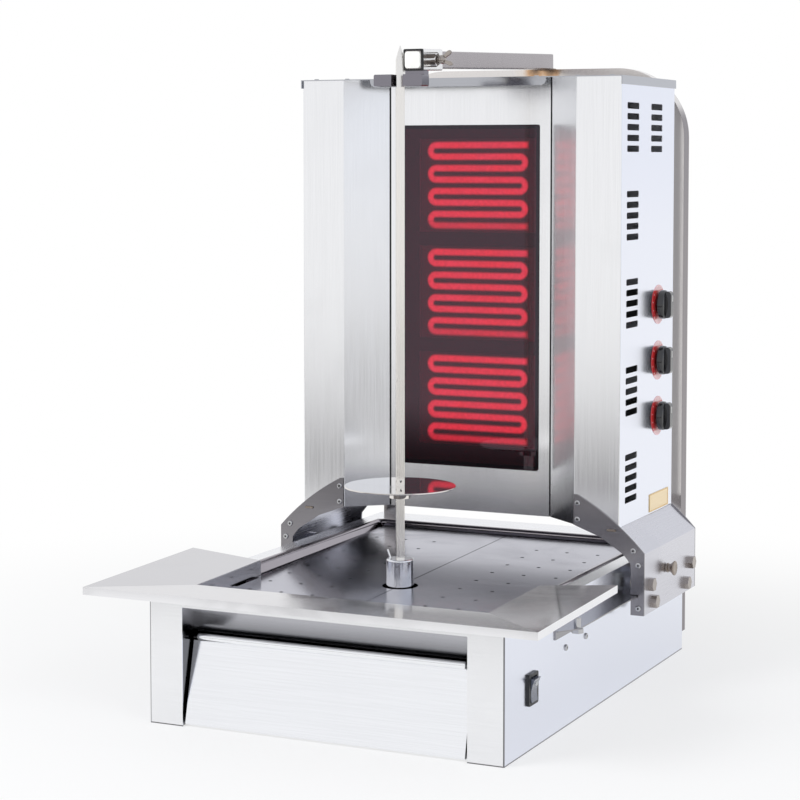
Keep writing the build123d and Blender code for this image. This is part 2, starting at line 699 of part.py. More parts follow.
def drip_pan():
    t = PAN_SHEET
    y0, y1 = fy(PAN_START), fy(PAN_END)
    inset = BEAD_RADIUS * 0.6
    fx, f0, f1 = FLOOR_X, fy(FLOOR_START), fy(FLOOR_END)
    rx, r0, r1 = PAN_X - inset, y0 + inset, y1 - inset
    outer = loft([level_frame(fx + t, f0 - t, f1 + t, lambda y: floor_height(y) - t),
                  level_frame(rx + t, r0, r1, lambda y: BEAD_HEIGHT)], ruled=True)
    inner = loft([level_frame(fx, f0, f1, floor_height),
                  level_frame(rx, r0, r1, lambda y: BEAD_HEIGHT)], ruled=True)
    wire = (Pos(0, (y0 + y1) / 2, BEAD_HEIGHT) * RectangleRounded(2 * PAN_X, y1 - y0, PAN_CORNER)).wire()
    bead = sweep(Plane(wire.position_at(0), z_dir=wire.tangent_at(0)) * Circle(BEAD_RADIUS), wire)
    pan = outer + bead - inner
    rim_top = floor_height(SPINDLE_Y) + PAN_HOLE_RIM
    pan += rod_z(PAN_HOLE / 2 + t, floor_height(SPINDLE_Y) - 2 * t, rim_top, 0, SPINDLE_Y)
    pan -= rod_z(PAN_HOLE / 2, PAN_LOW - PAN_DEPTH, BASE_HEIGHT, 0, SPINDLE_Y)
    x, y = DRAIN_INSET - FLOOR_X, fy(FLOOR_START + DRAIN_SETBACK)
    return pan - rod_z(DRAIN_DIAMETER / 2, PAN_LOW - PAN_DEPTH, BASE_HEIGHT, x, y)


def pan_cover(side):
    t = PAN_SHEET
    x0, x1 = COVER_SEAM / 2, FLOOR_X - COVER_SIDE_GAP
    y0, y1 = fy(FLOOR_START + COVER_END_GAP), fy(FLOOR_END - COVER_END_GAP)
    outer = [(x0, y0), (x1, y0), (x1, y1), (x0, y1)]
    inner = [(x0 + t, y0 + t), (x1 - t, y0 + t), (x1 - t, y1 - t), (x0 + t, y1 - t)]
    cover = slab([(x, y, cover_height(y)) for x, y in outer], COVER_LIFT - GAP / 3)
    cover -= slab([(x, y, cover_height(y) - t) for x, y in inner], COVER_LIFT)
    holes = []
    for column in range(COVER_COLUMNS):
        for row in range(COVER_ROWS):
            x = COVER_FIRST_X + COVER_PITCH_X * column
            y = fy(FLOOR_START + COVER_FIRST_Y + COVER_PITCH_Y * row)
            holes.append(rod_z(COVER_HOLE / 2, cover_height(y) - 2 * t, cover_height(y) + t, x, y))
    cover -= holes
    cover -= rod_z(COLLAR_HOLE / 2, PAN_LOW - PAN_DEPTH, BASE_HEIGHT + PAN_DEPTH, 0, SPINDLE_Y)
    if side < 0:
        start = fy(FLOOR_START + COVER_NOTCH_START)
        end = start + COVER_NOTCH_LENGTH
        cover -= box(x1 - COVER_NOTCH_DEPTH, x1 + t, start, end, PAN_LOW - PAN_DEPTH, BASE_HEIGHT)
        cover = mirrored(cover)
    return cover


def apron_height(x, y):
    """Height of the apron's side wings, on one plane through their corners."""
    along = APRON_BACK_RISE / (APRON_END - APRON_INNER_START)
    across = (APRON_RISE + along * APRON_WIDTH) / APRON_WIDTH
    return APRON_INNER_HEIGHT + across * (abs(x) - APRON_INNER_X) + along * (y - fy(APRON_INNER_START))


def apron_corner(x, y):
    return (x, y, apron_height(x, y))


def apron_upright(x, y0, y1, drop):
    """A flange hanging from the wing's edge."""
    t = SHEET
    rim = [(y0, apron_height(x, y0) - t / 2), (y1, apron_height(x, y1) - t / 2)]
    hem = [(y1, apron_height(x, y1) - drop), (y0, apron_height(x, y0) - drop)]
    return plate_yz(rim + hem, x - t, x)


def apron_foot(place):
    """A small tab that stands on the base's ledge."""
    t = SHEET
    x = SIDE_X - APRON_FOOT_INSET
    y0, y1 = fy(place), fy(place) + APRON_FOOT
    tops = [(y, apron_height(x, y) - t / 2) for y in (y1, y0)]
    return plate_yz([(y0, BASE_HEIGHT), (y1, BASE_HEIGHT)] + tops, x - t, x)


def pan_apron():
    t = SHEET
    xi, xo = APRON_INNER_X, APRON_INNER_X + APRON_WIDTH
    yi, yo = fy(APRON_INNER_START), fy(APRON_INNER_START - APRON_WIDTH)
    yb = fy(APRON_END)
    edge = apron_height(xo, yo)
    corners = [(-xo, yo), (xo, yo), (xi, yi), (-xi, yi)]
    front = slab([apron_corner(x, y) for x, y in corners], t)
    front += box(-xo, xo, yo, yo + t, edge - APRON_LIP, edge - t / 2)
    front += box(-xi, xi, yi - t, yi, APRON_INNER_HEIGHT - APRON_CURTAIN, APRON_INNER_HEIGHT - t / 2)
    half = slab([apron_corner(xo, yo), apron_corner(xo, yb), apron_corner(xi, yb), apron_corner(xi, yi)], t)
    half += apron_upright(xo, yo, yb, APRON_LIP)
    half += apron_upright(xi, yi - t, yb, APRON_CURTAIN)
    for place in APRON_FOOT_PLACES:
        half += apron_foot(place)
    return front + half + mirrored(half)


# Drive and spindle

def motor_crossbar():
    y0, y1 = SPINDLE_Y - CROSS_WIDTH / 2, SPINDLE_Y + CROSS_WIDTH / 2
    t = CROSS_THICKNESS
    bar = box(-INNER_X, INNER_X, y0, y1, CROSS_TOP - t, CROSS_TOP)
    leg = box(INNER_X - t, INNER_X, y0, y1, CROSS_TOP - CROSS_LEG, CROSS_TOP - t)
    bar += leg + mirrored(leg)
    return bar - rod_z(BEARING_DIAMETER / 2 + SHAFT_CLEARANCE, CROSS_TOP - 2 * t, CROSS_TOP + t, 0, SPINDLE_Y)


def gearbox():
    w, d, h = GEARBOX_SIZE
    top = CROSS_TOP - CROSS_THICKNESS
    case = box(-w / 2, w / 2, SPINDLE_Y - d / 2, SPINDLE_Y + d / 2, top - h, top)
    case = fillet(case.edges().filter_by(Axis.Z), GEARBOX_CORNER)
    case -= rod_z(BEARING_DIAMETER / 2, top - BEARING_WIDTH, top, 0, SPINDLE_Y)
    return case - rod_z(SHAFT_DIAMETER / 2 + SHAFT_CLEARANCE, top - h, top, 0, SPINDLE_Y)


def spindle_bearing():
    top = CROSS_TOP - CROSS_THICKNESS
    ring = rod_z(BEARING_DIAMETER / 2, top - BEARING_WIDTH, top, 0, SPINDLE_Y)
    return ring - rod_z(SHAFT_DIAMETER / 2 + SHAFT_RUNNING, top - 2 * BEARING_WIDTH, top, 0, SPINDLE_Y)


def drive_motor():
    y = SPINDLE_Y + GEARBOX_SIZE[1] / 2
    radius = MOTOR_DIAMETER / 2
    z = CROSS_TOP - CROSS_THICKNESS - radius - MOTOR_TOP_GAP
    can = rod_y(radius, y, y + MOTOR_LENGTH, 0, z)
    can = chamfer(can.edges().filter_by(GeomType.CIRCLE).sort_by(Axis.Y)[-1], 3)
    first = y + MOTOR_LENGTH / 2 - MOTOR_GROOVE_PITCH * (MOTOR_GROOVES - 1) / 2
    width = MOTOR_GROOVE_PITCH * 0.45
    for k in range(MOTOR_GROOVES):
        start = first + MOTOR_GROOVE_PITCH * k - width / 2
        can -= rod_y(radius, start, start + width, 0, z) - rod_y(radius - 1.5, start, start + width, 0, z)
    return can


def spindle_shaft():
    top = CROSS_TOP - CROSS_THICKNESS
    return rod_z(SHAFT_DIAMETER / 2, top - GEARBOX_SIZE[2], CROSS_TOP + COLLAR_SKIRT, 0, SPINDLE_Y)


def turned_square(side, depth=None):
    return Rot(0, 0, SKEWER_TURN) * Rectangle(side, depth or side)


def square_bar(side, z0, z1):
    return extrude(Pos(0, SPINDLE_Y, z0) * turned_square(side), z1 - z0)


def spindle_collar():
    collar = rod_z(COLLAR_DIAMETER / 2, CROSS_TOP + COLLAR_SKIRT, COLLAR_TOP, 0, SPINDLE_Y)
    collar = fillet(collar.edges().group_by(Axis.Z)[-1], 2.0)
    return collar - square_bar(SKEWER_SIDE + 2 * SOCKET_FIT, SKEWER_SEAT, COLLAR_TOP)


def skewer():
    """Square bar with a spear point that is ground thin towards its tip."""
    bar = square_bar(SKEWER_SIDE, SKEWER_SEAT, SKEWER_SHOULDER)
    bar = fillet(bar.edges().filter_by(Axis.Z), 0.8)
    neck = SKEWER_TIP - SPEAR_LENGTH * SPEAR_NOSE
    wide = Pos(0, SPINDLE_Y, SKEWER_SHOULDER) * turned_square(SKEWER_SIDE)
    thin = Pos(0, SPINDLE_Y, neck) * turned_square(SKEWER_SIDE, SPEAR_THIN)
    point = Pos(0, SPINDLE_Y, SKEWER_TIP) * turned_square(SPEAR_THIN / 7)
    pin_hole = Pos(0, SPINDLE_Y, DISC_HEIGHT + DISC_PIN_RISE) * Rot(0, 0, SKEWER_TURN) * Rot(90, 0, 0)
    pin_hole = pin_hole * Cylinder(DISC_PIN_DIAMETER / 2, 2 * SKEWER_SIDE)
    return bar + loft([wide, thin]) + loft([thin, point]) - pin_hole


def locking_pin():
    pin = Rot(0, -LOCK_PIN_LEAN, 0) * Cylinder(LOCK_PIN_DIAMETER / 2, LOCK_PIN_LENGTH)
    x = LOCK_PIN_INSET - COLLAR_DIAMETER / 2
    return Pos(x, SPINDLE_Y, COLLAR_TOP + LOCK_PIN_LENGTH / 2 - LOCK_PIN_SEAT) * pin


def across_skewer(radius, start, end, z):
    """A rod square to one flat of the skewer, from start to end off the axis."""
    turn = SKEWER_TURN - 90
    angle = math.radians(turn)
    middle = (start + end) / 2
    place = Pos(middle * math.cos(angle), SPINDLE_Y + middle * math.sin(angle), z)
    return place * Rot(0, 0, turn) * Rot(0, 90, 0) * Cylinder(radius, end - start)


def meat_disc():
    low, high = DISC_HEIGHT - HUB_HEIGHT, DISC_HEIGHT + DISC_THICKNESS
    disc = rod_z(DISC_DIAMETER / 2, DISC_HEIGHT, high, 0, SPINDLE_Y)
    disc = fillet(disc.edges(), DISC_THICKNESS * 0.35)
    disc += rod_z(HUB_DIAMETER / 2, low, DISC_HEIGHT + DISC_THICKNESS / 4, 0, SPINDLE_Y)
    disc -= square_bar(SKEWER_SIDE + 2 * DISC_FIT, low, high)
    radius = DISC_SCREW_DIAMETER / 2 + DISC_SCREW_FIT
    return disc - across_skewer(radius, SKEWER_SIDE / 4, HUB_DIAMETER, DISC_HEIGHT - HUB_HEIGHT / 2)


def disc_set_screw():
    z = DISC_HEIGHT - HUB_HEIGHT / 2
    end = HUB_DIAMETER / 2 + DISC_SCREW_PROUD
    shank = across_skewer(DISC_SCREW_DIAMETER / 2, SKEWER_SIDE / 2 + DISC_FIT, end, z)
    return shank + across_skewer(DISC_SCREW_HEAD / 2, end, end + DISC_SCREW_HEAD_LENGTH, z)


# Support frame, arm and the holder of the skewer's top

def support_frame():
    x, w = FRAME_HALF_WIDTH, FRAME_WALL
    outline = [(x, FRAME_FOOT), (x, FRAME_TOP), (-x, FRAME_TOP), (-x, FRAME_FOOT)]
    tube = bent_along_y(outline, FRAME_WIDTH, REAR, REAR + FRAME_DEPTH, FRAME_BEND)
    x, top, foot = x - w, FRAME_TOP - w, FRAME_FOOT + w
    core = [(x, foot), (x, top), (-x, top), (-x, foot)]
    return tube - bent_along_y(core, FRAME_WIDTH - 2 * w, REAR + w, REAR + FRAME_DEPTH - w, FRAME_BEND + w)


ARM_PIVOT = (ARM_CENTRE_X, REAR, FRAME_TOP)


def on_arm(shape):
    """Tilts a piece drawn level with the arm about the line where the arm meets the frame."""
    return Pos(*ARM_PIVOT) * Rot(ARM_TILT, 0, 0) * Pos(*[-c for c in ARM_PIVOT]) * shape


def arm_box(margin, y0, y1):
    half = ARM_SIDE / 2 + margin
    middle = FRAME_TOP + ARM_SIDE / 2
    return box(ARM_CENTRE_X - half, ARM_CENTRE_X + half, y0, y1, middle - half, middle + half)


def rounded_arm_box(margin, y0, y1, corner):
    return fillet(arm_box(margin, y0, y1).edges().filter_by(Axis.Y), corner)


def holder_arm():
    start, end = fy(ARM_START), fy(ARM_END)
    tube = rounded_arm_box(0, start, end, ARM_CORNER) - arm_box(-ARM_WALL, start, end)
    rise = ARM_PAST_FRAME * math.tan(math.radians(ARM_TILT))
    near = REAR + 1
    top = FRAME_TOP + GAP
    weld = [(near, FRAME_TOP), (end, FRAME_TOP), (end, top + rise), (near, top)]
    half = ARM_SIDE / 2 - ARM_CORNER
    return on_arm(tube) + plate_yz(weld, ARM_CENTRE_X - half, ARM_CENTRE_X + half)


def arm_end_cap():
    start = fy(ARM_START)
    cap = rounded_arm_box(-CAP_THICKNESS / 4, start - CAP_THICKNESS, start, 2 * ARM_CORNER)
    return on_arm(cap + arm_box(-ARM_WALL - GAP / 3, start, start + CAP_REACH))


def wing_centre():
    return (ARM_CENTRE_X + SLEEVE_SIDE / 2, fy(WING_PLACE), FRAME_TOP + ARM_SIDE / 2)


def holder_sleeve():
    """Square sleeve with the wing bolt's nut welded on its right side."""
    y0 = fy(SLEEVE_START)
    y1 = y0 + SLEEVE_LENGTH
    sleeve = rounded_arm_box(SLEEVE_FIT + SLEEVE_WALL, y0, y1, SLEEVE_WALL) - arm_box(SLEEVE_FIT, y0, y1)
    x, y, z = wing_centre()
    sleeve += hex_x(WING_NUT_ACROSS, x, x + WING_NUT_THICKNESS, y, z)
    bore = WING_BOLT_DIAMETER / 2 + BOLT_FIT
    return on_arm(sleeve - rod_x(bore, x - 2 * SLEEVE_WALL, x + WING_NUT_THICKNESS, y, z))


def sleeve_liner():
    y0 = fy(SLEEVE_START)
    liner = rounded_arm_box(SLEEVE_FIT + SLEEVE_WALL, y0 - LINER_THICKNESS, y0, SLEEVE_WALL)
    return on_arm(liner - arm_box(SLEEVE_FIT, y0 - LINER_THICKNESS, y0))


def wing_bolt():
    x, y, z = wing_centre()
    neck = x + WING_NUT_THICKNESS + WING_BOLT_NECK
    end = neck + WING_HUB_LENGTH
    bolt = rod_x(WING_BOLT_DIAMETER / 2, x - SLEEVE_WALL - SLEEVE_FIT + GAP, neck, y, z)
    bolt += rod_x(WING_HUB_DIAMETER / 2, neck, end, y, z)
    width, thickness, height = WING_BLADE
    for side in (-1, 1):
        place = Pos(end, y, z + side * (height / 2 + 2)) * Rot(0, side * WING_LEAN, 0)
        blade = place * Box(width, thickness, height)
        bolt += fillet(blade.edges().filter_by(Axis.Y), thickness)
    return on_arm(bolt)


def skewer_guide():
    """Upside-down channel with a slot that the skewer's top stands in."""
    w = GUIDE_WALL
    x0, x1 = GUIDE_LEFT, GUIDE_RIGHT
    y0 = fy(GUIDE_START)
    y1 = y0 + GUIDE_DEPTH
    z0, z1 = GUIDE_BOTTOM, GUIDE_BOTTOM + GUIDE_HEIGHT
    bar = fillet(box(x0, x1, y0, y1, z0, z1).edges().filter_by(Axis.Y), w)
    bar -= box(x0 + w, x1 - w, y0 + w, y1 - w, z0, z1 - w)
    half = GUIDE_SLOT / 2
    rim = box(half, half + w, y0, y1, z0, z1)
    bar += rim + mirrored(rim)
    bar -= box(-half, half, y0, y0 + GUIDE_SLOT_DEPTH, z0, z1)
    slope = math.tan(math.radians(ARM_TILT))
    under = FRAME_TOP - (SLEEVE_FIT + SLEEVE_WALL) / math.cos(math.radians(ARM_TILT))
    r0 = fy(SLEEVE_START) + 1
    tops = [(y, under + slope * (y - REAR)) for y in (y1, r0)]
    left = ARM_CENTRE_X - SLEEVE_SIDE / 2
    return bar + plate_yz([(r0, z1 - w), (y1, z1 - w)] + tops, left + 1, ARM_CENTRE_X + SLEEVE_SIDE / 2)


# Burner head

def vent_cutters(side):
    slot = RectangleRounded(VENT_LENGTH, VENT_HEIGHT, VENT_CORNER)
    reach = 4 * SHEET
    pieces = []
    for column, place in enumerate(VENT_PLACES):
        groups = VENT_TOPS if column == 0 else VENT_TOPS[:1]
        for top in groups:
            for row in range(VENT_COUNT):
                origin = (side * HEAD_HALF_WIDTH - reach / 2, fy(place), top - VENT_PITCH * row)
                pieces.append(extrude(Plane(origin, x_dir=(0, 1, 0), z_dir=(1, 0, 0)) * slot, reach))
    return pieces


def head_side(side):
    """Side wall, front flange and slanted reflector panel, folded from one sheet."""
    y0, y1, y2 = fy(HEAD_START), fy(RECESS_START), fy(HEAD_END)
    wide = HEAD_HALF_WIDTH
    outline = [(wide - HEAD_RETURN, y2), (wide, y2), (wide, y0), (FLANGE_INNER_X, y0),
               (RECESS_HALF_WIDTH, y1), (RECESS_HALF_WIDTH, y1 + RECESS_RETURN)]
    panel = bent_along_z(outline, -SHEET, HEAD_BOTTOM, HEAD_TOP)
    if side < 0:
        panel = mirrored(panel)
    panel -= vent_cutters(side)
    if side > 0:
        hole = KNOB_SHAFT / 2 + SHAFT_HOLE_GAP
        for z in KNOB_HEIGHTS:
            panel -= rod_x(hole, wide - 4 * SHEET, wide + SHEET, fy(KNOB_PLACE), z)
    return panel


def centre_panel():
    """Upright panel with the glass's window and the angle frame welded behind it."""
    y = fy(RECESS_START)
    back = fy(GLASS_BACK)
    half = RECESS_HALF_WIDTH - PANEL_GAP
    gap = GLASS_WIDTH / 2 + GLASS_GAP
    z0, z1 = GLASS_BOTTOM - GLASS_GAP, GLASS_TOP + GLASS_GAP
    panel = box(-half, half, y, y + SHEET, HEAD_BOTTOM, HEAD_TOP)
    panel += box(-half, half, y, y + RECESS_RETURN, HEAD_BOTTOM, HEAD_BOTTOM + SHEET)
    panel += box(-half, half, y + SHEET, back + SHEET, GLASS_BOTTOM - GLASS_FRAME_MARGIN,
                 GLASS_TOP + GLASS_FRAME_MARGIN)
    panel -= box(-gap, gap, y, back, z0, z1)
    lap = GLASS_WIDTH / 2 - GLASS_LAP
    return panel - box(-lap, lap, back, back + SHEET, GLASS_BOTTOM + GLASS_LAP, GLASS_TOP - GLASS_LAP)


def ceramic_glass():
    front = (0, fy(RECESS_START) - GLASS_PROUD, (GLASS_BOTTOM + GLASS_TOP) / 2)
    blank = RectangleRounded(GLASS_WIDTH, GLASS_HEIGHT, GLASS_CORNER)
    sheet = extrude(Plane(front, x_dir=(1, 0, 0), z_dir=(0, 1, 0)) * blank, GLASS_THICKNESS)
    return chamfer(sheet.faces().sort_by(Axis.Y)[0].edges(), 0.5)


def ribbon_path(height):
    """The flat heater ribbon's run: level stretches joined by half circles."""
    turn = ZONE_PITCH / 2
    reach = turn + RIBBON_WIDTH / 2
    top = height + ZONE_PITCH * (ZONE_RUNS - 1) / 2
    left, right = ZONE_LEFT + reach, ZONE_RIGHT - reach
    edges = []
    for run in range(ZONE_RUNS):
        z = top - ZONE_PITCH * run
        end = ZONE_RIGHT if run in (0, ZONE_RUNS - 1) else right
        edges.append(Line((left, z), (end, z)))
        if run < ZONE_RUNS - 1:
            side = -1 if run % 2 == 0 else 1
            x = left if side < 0 else right
            edges.append(ThreePointArc((x, z), (x + side * turn, z - turn), (x, z - ZONE_PITCH)))
    return edges


RIBBON_PLACE = GLASS_BACK + SHEET + RIBBON_GAP
BOARD_PLACE = RIBBON_PLACE + RIBBON_THICKNESS
RACK_PLACE = BOARD_PLACE + BOARD_THICKNESS + TRAY_SHEET


def heating_elements():
    y = fy(RIBBON_PLACE)
    zones = []
    for height in ZONE_HEIGHTS:
        face = None
        for edge in ribbon_path(height):
            strip = trace(edge, RIBBON_WIDTH)
            face = strip if face is None else face + strip
        zones.append(extrude(Plane.XZ.offset(-y) * face, RIBBON_THICKNESS, dir=(0, 1, 0)))
    return group(zones)


def zone_bounds(height):
    half = ZONE_PITCH * (ZONE_RUNS - 1) / 2 + RIBBON_WIDTH / 2 + BOARD_EDGE
    return ZONE_LEFT - BOARD_MARGIN, ZONE_RIGHT + BOARD_MARGIN, height - half, height + half


def insulation_boards():
    y = fy(BOARD_PLACE)
    boards = []
    for height in ZONE_HEIGHTS:
        x0, x1, z0, z1 = zone_bounds(height)
        boards.append(box(x0, x1, y, y + BOARD_THICKNESS, z0, z1))
    return group(boards)


def heater_trays():
    """Trays round the boards, welded to two upright channels."""
    t = TRAY_SHEET
    y, back = fy(RIBBON_PLACE), fy(RACK_PLACE)
    rack = None
    for x in RACK_PLACES:
        x0, x1 = x - RACK_WIDTH / 2, x + RACK_WIDTH / 2
        outline = [(x0, back + RACK_DEPTH), (x0, back), (x1, back), (x1, back + RACK_DEPTH)]
        bar = bent_along_z(outline, SHEET, HEAD_BOTTOM + SHEET, HEAD_TOP)
        rack = bar if rack is None else rack + bar
    for height in ZONE_HEIGHTS:
        x0, x1, z0, z1 = zone_bounds(height)
        rack += box(x0 - t, x1 + t, y, back, z0 - t, z1 + t) - box(x0, x1, y, back - t, z0, z1)
    return rack


def head_lid():
    y0, y1 = fy(HEAD_START) - LID_OVERHANG, fy(HEAD_END) + SHEET
    x = HEAD_HALF_WIDTH + SHEET
    under, low = HEAD_TOP, LID_TOP - LID_DROP
    lid = box(-x, x, y0, y1, under, LID_TOP)
    flange = box(HEAD_HALF_WIDTH, x, y0, y1, low, under)
    lid += flange + mirrored(flange)
    lid += box(-x, x, y1 - SHEET, y1, low, under)
    half = LID_APRON_HALF
    tab = box(-half, half, y0, y0 + SHEET, low, under)
    return lid + fillet(tab.edges().filter_by(Axis.Y).group_by(Axis.Z)[0], LID_APRON_RADIUS)


def lid_screws():
    heads = []
    for inset in LID_SCREW_INSETS:
        x = HEAD_HALF_WIDTH - inset
        for place in (HEAD_START + LID_SCREW_SETBACK, HEAD_END - LID_SCREW_SETBACK):
            head = rod_z(LID_SCREW_DIAMETER / 2, LID_TOP, LID_TOP + LID_SCREW_HEIGHT, x, fy(place))
            heads.append(fillet(head.edges().group_by(Axis.Z)[-1], LID_SCREW_HEIGHT * 0.7))
    return heads


def head_fixings():
    """Lid screws and the pulled rivets of the front brackets."""
    front = fy(HEAD_START) - BRACKET_THICKNESS
    rivets = [rivet_y(CARRIAGE_X - inset, front, HEAD_BOTTOM + rise) for inset, rise in BRACKET_RIVETS]
    return both_sides(group(lid_screws() + rivets))


def head_rear_panel():
    """Vented rear panel and the head's floor, folded from one sheet."""
    y1 = fy(HEAD_END) - SHEET
    y0 = fy(RECESS_START) + RECESS_RETURN + 2 * SHEET
    half = HEAD_HALF_WIDTH - SHEET - FOLD_RADIUS
    panel = box(-half, half, y1 - SHEET, y1, HEAD_BOTTOM, HEAD_TOP)
    panel += box(-half, half, y0, y1 - SHEET, HEAD_BOTTOM, HEAD_BOTTOM + SHEET)
    slots = []
    for top in VENT_TOPS[::2]:
        for x in REAR_VENT_PLACES:
            for row in range(VENT_COUNT):
                z = top - VENT_PITCH * row
                slots.append(box(x - VENT_LENGTH / 2, x + VENT_LENGTH / 2, y1 - SHEET, y1,
                                 z - VENT_HEIGHT / 2, z + VENT_HEIGHT / 2))
    return panel - slots


def blank_plate():
    """A bare plate low on the right side."""
    y, z = fy(HEAD_START + PLATE_SETBACK), HEAD_BOTTOM + PLATE_RISE
    length, height = PLATE_SIZE
    x = HEAD_HALF_WIDTH
    plate = box(x, x + PLATE_THICKNESS, y - length / 2, y + length / 2, z - height / 2, z + height / 2)
    return fillet(plate.edges().filter_by(Axis.X), PLATE_CORNER)


def energy_regulators():
    w, d, h = REGULATOR_SIZE
    x = HEAD_HALF_WIDTH - SHEET
    y = fy(KNOB_PLACE)
    bore = KNOB_SHAFT / 2 + KNOB_SHAFT_FIT
    cases = []
    for z in KNOB_HEIGHTS:
        case = box(x - w, x, y - d / 2, y + d / 2, z - h / 2, z + h / 2)
        cases.append(case - rod_x(bore, x - KNOB_SHAFT_REACH - 2, x, y, z))
    return group(cases)


def dial_rings():
    x = HEAD_HALF_WIDTH
    y = fy(KNOB_PLACE)
    rings = []
    for z in KNOB_HEIGHTS:
        ring = rod_x(DIAL_DIAMETER / 2, x, x + DIAL_THICKNESS, y, z)
        rings.append(ring - rod_x(KNOB_SHAFT / 2 + SHAFT_HOLE_GAP, x, x + DIAL_THICKNESS, y, z))
    return group(rings)


def control_knob(z):
    """Knob with its shaft, which turns in the regulator's bore."""
    x0 = HEAD_HALF_WIDTH + KNOB_STANDOFF
    x1 = x0 + KNOB_LENGTH
    y = fy(KNOB_PLACE)
    r = KNOB_DIAMETER / 2
    skirt = rod_x(r, x0, x0 + KNOB_SKIRT, y, z)
    skirt = fillet(skirt.edges().filter_by(GeomType.CIRCLE).sort_by(Axis.X)[-1], 1.5)
    cap = rod_x(r - KNOB_STEP, x0 + KNOB_SKIRT / 2, x1, y, z)
    cap = fillet(cap.edges().filter_by(GeomType.CIRCLE).sort_by(Axis.X)[-1], 2.0)
    for side in (-1, 1):
        cap -= box(x0 + KNOB_SKIRT + 1, x1, y + side * KNOB_GRIP / 2, y + side * 2 * r, z - r, z + r)
    pointer = box(x1 - 0.8, x1, y - 0.8, y + 0.8, z + r / 6, z + r)
    return skirt + cap - pointer + rod_x(KNOB_SHAFT / 2, HEAD_HALF_WIDTH - SHEET - KNOB_SHAFT_REACH, x0, y, z)


# Carriage under the head

def bracket_outline():
    """Front view of one boomerang bracket: a horn up the head, an elbow and a leg."""
    horn_x, horn_z = FLANGE_INNER_X + BRACKET_HORN, HEAD_BOTTOM + BRACKET_HORN_RISE
    inner = [(horn_x, horn_z), (FLANGE_INNER_X, horn_z), (FLANGE_INNER_X, HEAD_BOTTOM)]
    inner += [(BRACKET_LEG_X - x, HEAD_BOTTOM - z) for x, z in BRACKET_ELBOW]
    inner += [(BRACKET_LEG_X, CARRIAGE_BOTTOM), (CARRIAGE_X, CARRIAGE_BOTTOM)]
    inner += [(CARRIAGE_X, CARRIAGE_SHOULDER)]
    bulge = (CARRIAGE_X - BRACKET_BULGE[0], CARRIAGE_SHOULDER + BRACKET_BULGE[1])
    crown = ThreePointArc((CARRIAGE_X, CARRIAGE_SHOULDER), bulge, (horn_x, horn_z))
    return make_face(list(Polyline(*inner).edges()) + [crown])


def brackets():
    """Four boomerang brackets, at the front and the back of the carriage."""
    t = BRACKET_THICKNESS
    gap = BRACKET_RAIL_GAP
    blank = extrude(Plane.XZ * bracket_outline(), t, dir=(0, 1, 0))
    blank -= box(SIDE_X, SIDE_X + RAIL_REACH + gap, 0, t, RAIL_TOP - RAIL_THICKNESS - gap, RAIL_TOP + gap)
    place = (CARRIAGE_X - BRACKET_SLOT_PLACE[0], 0, CARRIAGE_SHOULDER + BRACKET_SLOT_PLACE[1])
    slot = extrude(Plane(place, x_dir=(1, 0, 0), z_dir=(0, 1, 0)) * SlotOverall(*BRACKET_SLOT), t)
    front = Pos(0, fy(HEAD_START) - t, 0) * (blank - slot)
    keep = box(FLANGE_INNER_X, CARRIAGE_X, 0, t, 0, HEAD_BOTTOM)
    rear = Pos(0, fy(HEAD_START + CARRIAGE_LENGTH), 0) * (blank & keep)
    return both_sides(group([front, rear]))


def roller_places():
    upper = RAIL_TOP + ROLLER_GAP + ROLLER_DIAMETER / 2
    lower = RAIL_TOP - RAIL_THICKNESS - ROLLER_GAP - ROLLER_DIAMETER / 2
    above = [(HEAD_START + setback, upper) for setback in UPPER_ROLLER_SETBACKS]
    return above + [(HEAD_START + setback, lower) for setback in LOWER_ROLLER_SETBACKS]


def carriage_side():
    """Skirt, slanted shoulder and the flange under the head's side wall, bent from one sheet."""
    outline = [(CARRIAGE_X, CARRIAGE_BOTTOM), (CARRIAGE_X, CARRIAGE_SHOULDER),
               (HEAD_HALF_WIDTH, HEAD_BOTTOM), (HEAD_HALF_WIDTH - CARRIAGE_FLANGE, HEAD_BOTTOM)]
    panel = bent_along_y(outline, CARRIAGE_SHEET, fy(HEAD_START), fy(HEAD_START + CARRIAGE_LENGTH))
    inside = CARRIAGE_X - CARRIAGE_SHEET
    bore = BOLT_DIAMETER / 2 + BOLT_FIT
    for place, z in roller_places():
        panel -= rod_x(bore, inside, CARRIAGE_X, fy(place), z)
    y = fy(CLAMP_PLACE)
    panel += hex_x(HEX_ACROSS, inside - HEX_THICKNESS, inside, y, CLAMP_HEIGHT)
    return panel - rod_x(bore, inside - HEX_THICKNESS, CARRIAGE_X, y, CLAMP_HEIGHT)


def roller_bolts():
    """Hex bolts whose shanks are the rollers' axles, with shoulders beside each roller."""
    inner = ROLLER_X - ROLLER_WIDTH - GAP
    end = inner - BOLT_END
    shoulder = BOLT_SHOULDER / 2
    bolts = []
    for place, z in roller_places():
        y = fy(place)
        bolt = rod_x(BOLT_DIAMETER / 2, end, CARRIAGE_X, y, z)
        bolt += hex_x(HEX_ACROSS, CARRIAGE_X, CARRIAGE_X + HEX_THICKNESS, y, z)
        bolt += rod_x(shoulder, ROLLER_X + GAP, CARRIAGE_X - CARRIAGE_SHEET, y, z)
        bolt += rod_x(shoulder, end, inner, y, z)
        bolts.append(bolt)
    return both_sides(group(bolts))


def carriage_rollers(place, z):
    """The left and right roller on one axis."""
    y = fy(place)
    ring = rod_x(ROLLER_DIAMETER / 2, ROLLER_X - ROLLER_WIDTH, ROLLER_X, y, z)
    ring = chamfer(ring.edges().filter_by(GeomType.CIRCLE), 0.5)
    return both_sides(ring - rod_x(ROLLER_BORE / 2, ROLLER_X - ROLLER_WIDTH, ROLLER_X, y, z))


